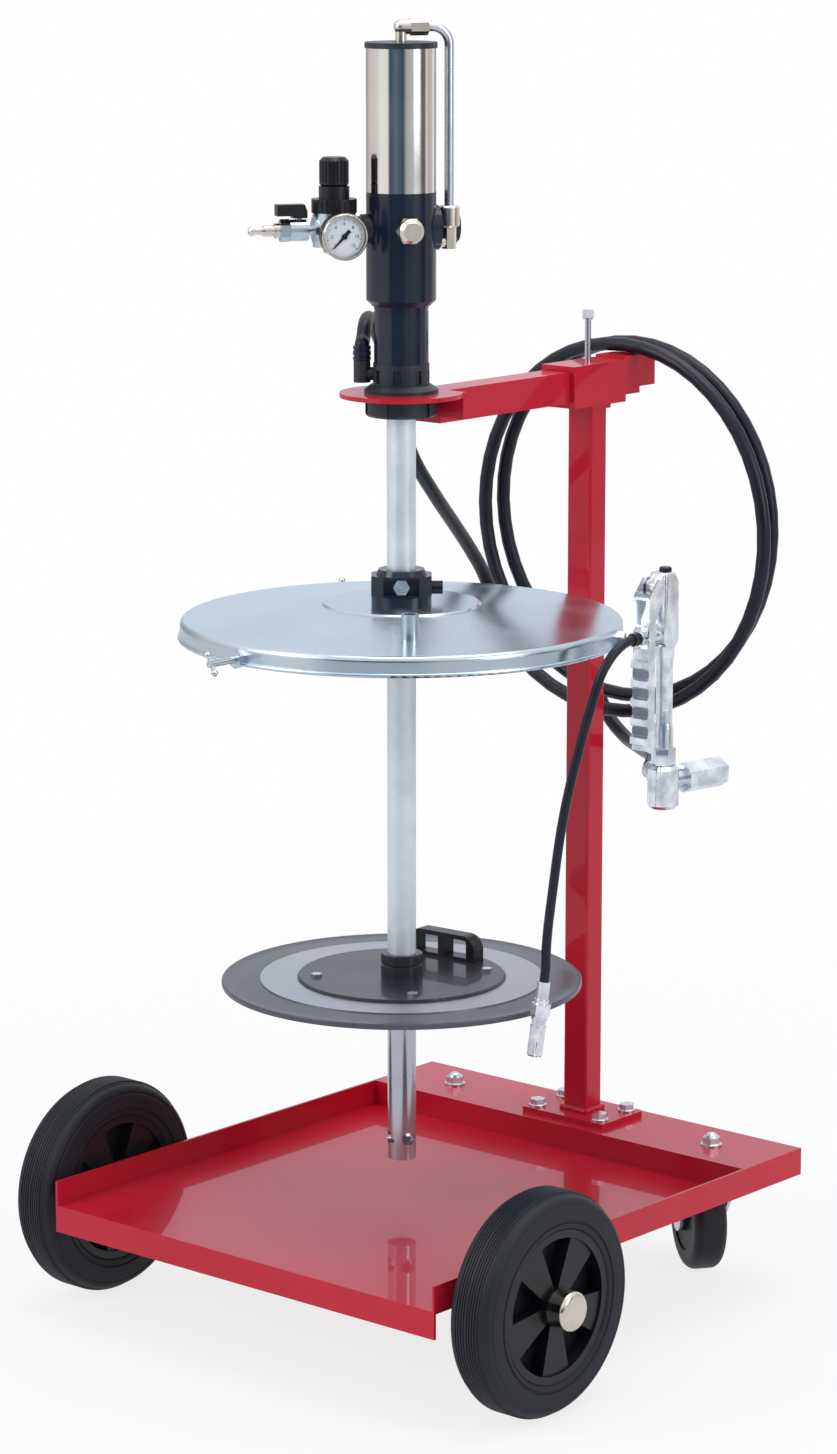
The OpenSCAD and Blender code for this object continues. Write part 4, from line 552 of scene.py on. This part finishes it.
def add_hoses():
    """Both hoses, each in place of its solid nodes."""
    line = long_hose_line()
    hose = lay_hose("grease_hose", line, HOSE_WIDE)
    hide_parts("supply_hose", "hose_coil", "hose_tail")
    line = short_hose_line()
    whip = lay_hose("gun_hose", line, WHIP_WIDE)
    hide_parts("whip_hose")


# ---------------------------------------------------------------- making pieces, sizes in mm
SAME_PLACE = 1e-7  # m


def finish_piece(name, shape, finish, body, place, crease=35):
    """Turns a bmesh into a piece that rides on a body, smooth but for edges sharper than crease degrees."""
    bmesh.ops.remove_doubles(shape, verts=shape.verts, dist=SAME_PLACE)
    bmesh.ops.transform(shape, matrix=place, verts=shape.verts)
    bmesh.ops.recalc_face_normals(shape, faces=shape.faces)
    mesh = bpy.data.meshes.new(name)
    shape.to_mesh(mesh)
    shape.free()
    mesh.shade_smooth()
    mesh.set_sharp_from_angle(angle=math.radians(crease))
    mesh.materials.append(finish)
    piece = bpy.data.objects.new(name, mesh)
    bpy.context.scene.collection.objects.link(piece)
    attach(piece, body)
    return piece


def turned(profile, steps=96, closed=False):
    """A bmesh turned about Z from (radius, height) points in mm; a closed profile makes a ring."""
    shape = bmesh.new()
    points = [shape.verts.new((r * MM, 0, z * MM)) for r, z in profile]
    edges = [shape.edges.new(pair) for pair in zip(points, points[1:])]
    if closed:
        edges.append(shape.edges.new((points[-1], points[0])))
    bmesh.ops.spin(shape, geom=[*points, *edges], axis=(0, 0, 1), cent=(0, 0, 0),
                   angle=2 * math.pi, steps=steps, use_merge=True)
    bmesh.ops.remove_doubles(shape, verts=shape.verts, dist=SAME_PLACE)
    return shape


def add_block(shape, wide, deep, tall):
    """Adds a block round the origin to a bmesh, sizes in mm, and gives its corners."""
    corners = bmesh.ops.create_cube(shape, size=1)["verts"]
    bmesh.ops.scale(shape, vec=(wide * MM, deep * MM, tall * MM), verts=corners)
    return corners


def draw_out(shape, way):
    """Draws a flat bmesh out along way, in m."""
    grown = bmesh.ops.extrude_face_region(shape, geom=shape.faces[:])
    bmesh.ops.translate(shape, vec=way, verts=[v for v in grown["geom"] if isinstance(v, bmesh.types.BMVert)])


def round_off(shape, edges, radius, segments, clamp=True):
    """Rounds some edges, radius in mm."""
    bmesh.ops.bevel(shape, geom=edges, offset=radius * MM, offset_type="OFFSET", segments=segments,
                    profile=0.5, affect="EDGES", material=-1, clamp_overlap=clamp)


def arc(centre, radius, start, end, count):
    """Points of an arc in a profile, angles in degrees."""
    turns = [math.radians(start + (end - start) * i / count) for i in range(count + 1)]
    return [(centre[0] + radius * math.cos(a), centre[1] + radius * math.sin(a)) for a in turns]


def facing(place, way):
    """Stands a piece made along Z at a point, its Z along way."""
    return Matrix.Translation(place) @ Vector(way).to_track_quat("Z", "Y").to_matrix().to_4x4()


# ---------------------------------------------------------------- wheels
TYRE_GROOVES = (10.2, 7.4, 4.6, 1.8)  # either side of the tread's middle
TREAD_R, GROOVE_R = 99.9, 98.7


def add_tyre(side):
    """Solid rubber tyre: ribbed tread, stepped shoulders, ring moulded in each side wall."""
    half = [(68, 19.5), (69.5, 21.6), (72, 22.2), (73.6, 22.2), (74.2, 21.2), (75.4, 21.2),
            (76, 22.3), (82, 22.5), (88, 21.8), (89, 21.0), (90, 21.0), (90.8, 21.2)]
    half += arc((90, 14.2), 7.2, 72, 24, 5)
    half += [(97.2, 15.2), (98.2, 14.4), (98.4, 12.4), (99.6, 12.0)]
    for groove in TYRE_GROOVES:
        half += [(TREAD_R, groove + 0.8), (TREAD_R, groove + 0.5), (GROOVE_R, groove + 0.3),
                 (GROOVE_R, groove - 0.3), (TREAD_R, groove - 0.5)]
    profile = half + [(r, -z) for r, z in reversed(half)]
    shape = turned(profile, steps=128, closed=True)
    spin = joints[f"{side}_wheel_spin"]
    tyre = finish_piece(f"ribbed_tyre_{side}", shape, TYRE, f"wheel_{side}",
                        facing(spin["pos_m"], spin["axis"]), crease=30)
    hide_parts(f"tyre_{side}")


# ---------------------------------------------------------------- follower
def add_membrane():
    """Thin rubber membrane: a shallow wave near its rounded edge, and its wiping lip turned down."""
    profile = [(13.1, -2.5), (13.1, 0), (40, 0), (130, 0), (140, -0.2), (150, -0.7), (157, -0.8),
               (161, -0.2)]
    profile += arc((162.6, -1.4), 1.4, 100, 0, 5)
    profile += [(163.9, -4)] + arc((163.1, -4.2), 0.8, 0, -180, 6)
    profile += [(161.8, -3.2), (158, -2.9), (150, -2.8), (140, -2.5)]
    shape = turned(profile, steps=144, closed=True)
    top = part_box("follower_membrane")[1].z / MM
    membrane = finish_piece("follower_rubber", shape, MEMBRANE, "follower",
                            Matrix.Translation(at(0, 0, top)), crease=50)
    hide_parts("follower_membrane")


# ---------------------------------------------------------------- gauge
SCALE_START, SCALE_SWEEP = 225, 270
NUMBERS = ("0", "2", "4", "6", "8", "10", "12")
NUMBER_TALL, NUMBER_RING = 4.2, 11
TICKS, TICKS_TO_LONG = 40, 5
LONG_TICK, SHORT_TICK = (2.6, 0.42), (1.4, 0.22)
TICK_RING = 16.2
INK_THICK = 0.08
INK_UNDER, RIM_OVER = 0.18, 0.8  # the needle's own place on its axis


def scale_turn(share):
    """Angle on the dial at a share of its scale."""
    return math.radians(SCALE_START - SCALE_SWEEP * share)


def add_ticks(face):
    """Long and short ticks round the dial."""
    shape = bmesh.new()
    for i in range(TICKS + 1):
        tall, wide = SHORT_TICK if i % TICKS_TO_LONG else LONG_TICK
        tick = add_block(shape, tall, wide, INK_THICK)
        bmesh.ops.translate(shape, vec=((TICK_RING - tall / 2) * MM, 0, 0), verts=tick)
        turn = Matrix.Rotation(scale_turn(i / TICKS), 3, "Z")
        bmesh.ops.rotate(shape, matrix=turn, cent=(0, 0, 0), verts=tick)
    finish_piece("gauge_ticks", shape, INK, ROOT, face)


def add_number(number, turn, face):
    """A printed number, upright on the dial."""
    data = bpy.data.curves.new(f"gauge_number_{number}", "FONT")
    data.body = number
    data.size = NUMBER_TALL * MM
    data.extrude = INK_THICK / 2 * MM
    data.align_x, data.align_y = "CENTER", "CENTER"
    text = bpy.data.objects.new(f"gauge_number_{number}", data)
    bpy.context.scene.collection.objects.link(text)
    bpy.context.view_layer.update()
    mesh = bpy.data.meshes.new_from_object(text)
    bpy.data.objects.remove(text)
    ring = NUMBER_RING * MM
    mesh.transform(face @ Matrix.Translation((ring * math.cos(turn), ring * math.sin(turn), 0)))
    mesh.materials.append(INK)
    printed = bpy.data.objects.new(f"gauge_number_{number}", mesh)
    bpy.context.scene.collection.objects.link(printed)
    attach(printed, ROOT)


def add_gauge_print():
    """Scale of the gauge: ticks on an arc and plain numbers, with a bright rim round the glass."""
    sweep = joints["gauge_sweep"]
    centre, out = Vector(sweep["pos_m"]), -Vector(sweep["axis"])
    across = Vector((-out.y, out.x, 0))
    upright = Matrix((across, (0, 0, 1), out)).transposed().to_4x4()
    face = Matrix.Translation(centre - out * INK_UNDER * MM) @ upright
    add_ticks(face)
    for i, number in enumerate(NUMBERS):
        add_number(number, scale_turn(i / (len(NUMBERS) - 1)), face)
    rim = [(18.6, 0), (20.4, 0.2), (20.7, 1.4), (20.2, 3.4), (19.4, 4.2), (18.5, 4.2), (18.3, 3.4)]
    finish_piece("gauge_rim", turned(rim, closed=True), NICKEL, ROOT,
                 facing(centre + out * RIM_OVER * MM, out))


# ---------------------------------------------------------------- gun, heights from the floor
RECESSES, RECESS_PITCH = 4, 17
RECESS_SIZE = (17.4, 0.8, 7.4)
RECESS_FRONT, RECESS_FIRST_Z = 34.05, 570
RECESS_ROUND = 1.2
HEAD_WIDE, HEAD_ROUND = 18, 1.8
NOSE_WIDE, NOSE_ROUND = 12, 1.2
FOOT_NUT_Z, FOOT_NUT_ACROSS, FOOT_NUT_LONG = 535.2, 19, 15.6
FOOT_NUT_ROUND = 0.665


def add_grip_recess_shade():
    """Painted shade in the hollows between the ribs of the gun's grip: each a thin dark insert in the lever's
    front.
    """
    for i in range(RECESSES):
        shape = bmesh.new()
        add_block(shape, *RECESS_SIZE)
        sides = [e for e in shape.edges if abs(e.verts[0].co.y - e.verts[1].co.y) > SAME_PLACE]
        round_off(shape, sides, RECESS_ROUND, 2, clamp=False)
        place = at(GUN_X, GUN_Y - RECESS_FRONT, RECESS_FIRST_Z + RECESS_PITCH * i)
        finish_piece(f"grip_recess_painted_shade_{i + 1}", shape, PAINTED_RECESS_SHADE, "trigger",
                     Matrix.Translation(place))


def slab(outline, wide, radius):
    """A bmesh of an outline of depths and heights, wide across X and rounded on every edge."""
    shape = bmesh.new()
    shape.faces.new([shape.verts.new((-wide / 2 * MM, y * MM, z * MM)) for y, z in outline])
    draw_out(shape, (wide * MM, 0, 0))
    round_off(shape, shape.edges[:], radius, 3)
    return shape


def add_foot_nut():
    """Hexagon nut at the gun's foot, with its corners turned down."""
    shape = bmesh.new()
    bmesh.ops.create_circle(shape, cap_ends=True, segments=6, radius=FOOT_NUT_ACROSS * MM / math.sqrt(3))
    draw_out(shape, (0, 0, FOOT_NUT_LONG * MM))
    rims = [e for e in shape.edges if abs(e.verts[0].co.z - e.verts[1].co.z) < SAME_PLACE]
    round_off(shape, rims, FOOT_NUT_ROUND, 2, clamp=False)
    finish_piece("gun_foot_nut", shape, CASTING, ROOT,
                 facing(at(GUN_X, GUN_Y, FOOT_NUT_Z), (0, 0, 1)))


def add_gun():
    """The gun's cast body with rounded edges: head and nose, barrel, hose boss, foot nut and black plug."""
    place = Matrix.Translation(at(GUN_X, GUN_Y, 0))
    head = slab([(-11, 645.5), (-5.5, 641), (4.5, 641), (9, 645.5), (9, 699), (3, 708), (-11, 708)],
                HEAD_WIDE, HEAD_ROUND)
    piece = finish_piece("gun_head", head, CASTING, ROOT, place)
    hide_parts("gun_body")
    nose = slab([(-4, 689), (-21, 689), (-21, 699), (-10.5, 707.6), (-4, 707.6)], NOSE_WIDE, NOSE_ROUND)
    finish_piece("gun_nose", nose, CASTING, ROOT, place)
    barrel = [(0, 535), (7.6, 535), (8.5, 536), (8.5, 569), (7.7, 572), (7.5, 574), (7.5, 628), (8.3, 633),
              (8.8, 642), (0, 642)]
    finish_piece("gun_barrel", turned(barrel, steps=64), CASTING, ROOT, place)
    boss = [(0, 0), (6.5, 0), (6.5, 17), (5.6, 17.8), (5.6, 21), (6.5, 21.8), (6.5, 37), (5.6, BOSS_LONG),
            (0, BOSS_LONG)]
    finish_piece("gun_boss", turned(boss, steps=48), CASTING, ROOT,
                 facing(at(GUN_X, GUN_Y, BOSS_Z), (0, -1, 0)))
    add_foot_nut()
    plug = [(0, 712), (4.4, 712), (5.5, 711), (5.5, 707), (0, 707)]
    finish_piece("gun_cap", turned(plug, steps=40), BLACK, ROOT, place)


# ---------------------------------------------------------------- weld and hose ends
FOOT_PLATE = 5
POST_WIDE, POST_DEEP = 28, 24
BEAD, BEAD_RISE, BEAD_ROUND_SHARE = 3.2, 1.5, 0.9
FERRULE_WALL, FERRULE_EDGE, FERRULE_PLAIN = 1.6, 0.8, 1  # the edge's chamfer, and the plain strip at each end
GROOVE_PITCH, GROOVE_DEEP = 5, 0.7
GROOVE_HALF_TOP, GROOVE_HALF_FOOT = 1.2, 0.6
OUTLET_FERRULE, SWIVEL_FERRULE, GUN_FERRULE = 13, 24, 9  # lengths


def add_weld():
    """A painted weld bead round the foot of the post, on its foot plate."""
    shape = bmesh.new()
    add_block(shape, POST_WIDE + 2 * BEAD, POST_DEEP + 2 * BEAD, 2 * BEAD)
    round_off(shape, shape.edges[:], BEAD_ROUND_SHARE * BEAD, 5)
    low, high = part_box("post")
    place = (low + high) / 2
    place.z = low.z + (FOOT_PLATE + BEAD_RISE) * MM
    finish_piece("post_foot_weld", shape, RED, ROOT, Matrix.Translation(place), crease=60)


def add_ferrule(name, start, way, wide, long, finish=ZINC):
    """Crimped ferrule on a hose end: a sleeve with evenly spaced grooves."""
    inner, outer = wide / 2, wide / 2 + FERRULE_WALL
    low = outer - GROOVE_DEEP
    profile = [(inner, 0), (outer - FERRULE_EDGE, 0), (outer, FERRULE_EDGE)]
    grooved = long - 2 * FERRULE_PLAIN
    grooves = round(grooved / GROOVE_PITCH)
    for i in range(grooves):
        z = FERRULE_PLAIN + grooved / grooves * (i + 0.5)
        profile += [(outer, z - GROOVE_HALF_TOP), (low, z - GROOVE_HALF_FOOT), (low, z + GROOVE_HALF_FOOT),
                    (outer, z + GROOVE_HALF_TOP)]
    profile += [(outer, long - FERRULE_EDGE), (outer - FERRULE_EDGE, long), (inner, long)]
    finish_piece(name, turned(profile, steps=48, closed=True), finish, ROOT, facing(start, way))


def add_hose_ends():
    """Ferrules at the outlet, at the gun's swivel and on its boss."""
    add_ferrule("outlet_ferrule", at(*OUTLET), (0, 0, 1), HOSE_WIDE, OUTLET_FERRULE, ANODISED)
    add_ferrule("swivel_ferrule", at(*SWIVEL_PORT), SWIVEL_WAY, HOSE_WIDE, SWIVEL_FERRULE)
    add_ferrule("gun_ferrule", at(*BOSS_END), (0, -1, 0), WHIP_WIDE, GUN_FERRULE, BLACK)


add_camera()
add_world()
for softbox in SOFTBOXES:
    add_softbox(*softbox)
add_floor()
dress_nodes()
add_hoses()
for side in ("left", "right"):
    add_tyre(side)
add_membrane()
add_gauge_print()
add_hose_ends()
add_grip_recess_shade()
add_gun()
add_weld()

bpy.context.scene.view_settings.view_transform = "Standard"
bpy.context.view_layer.update()
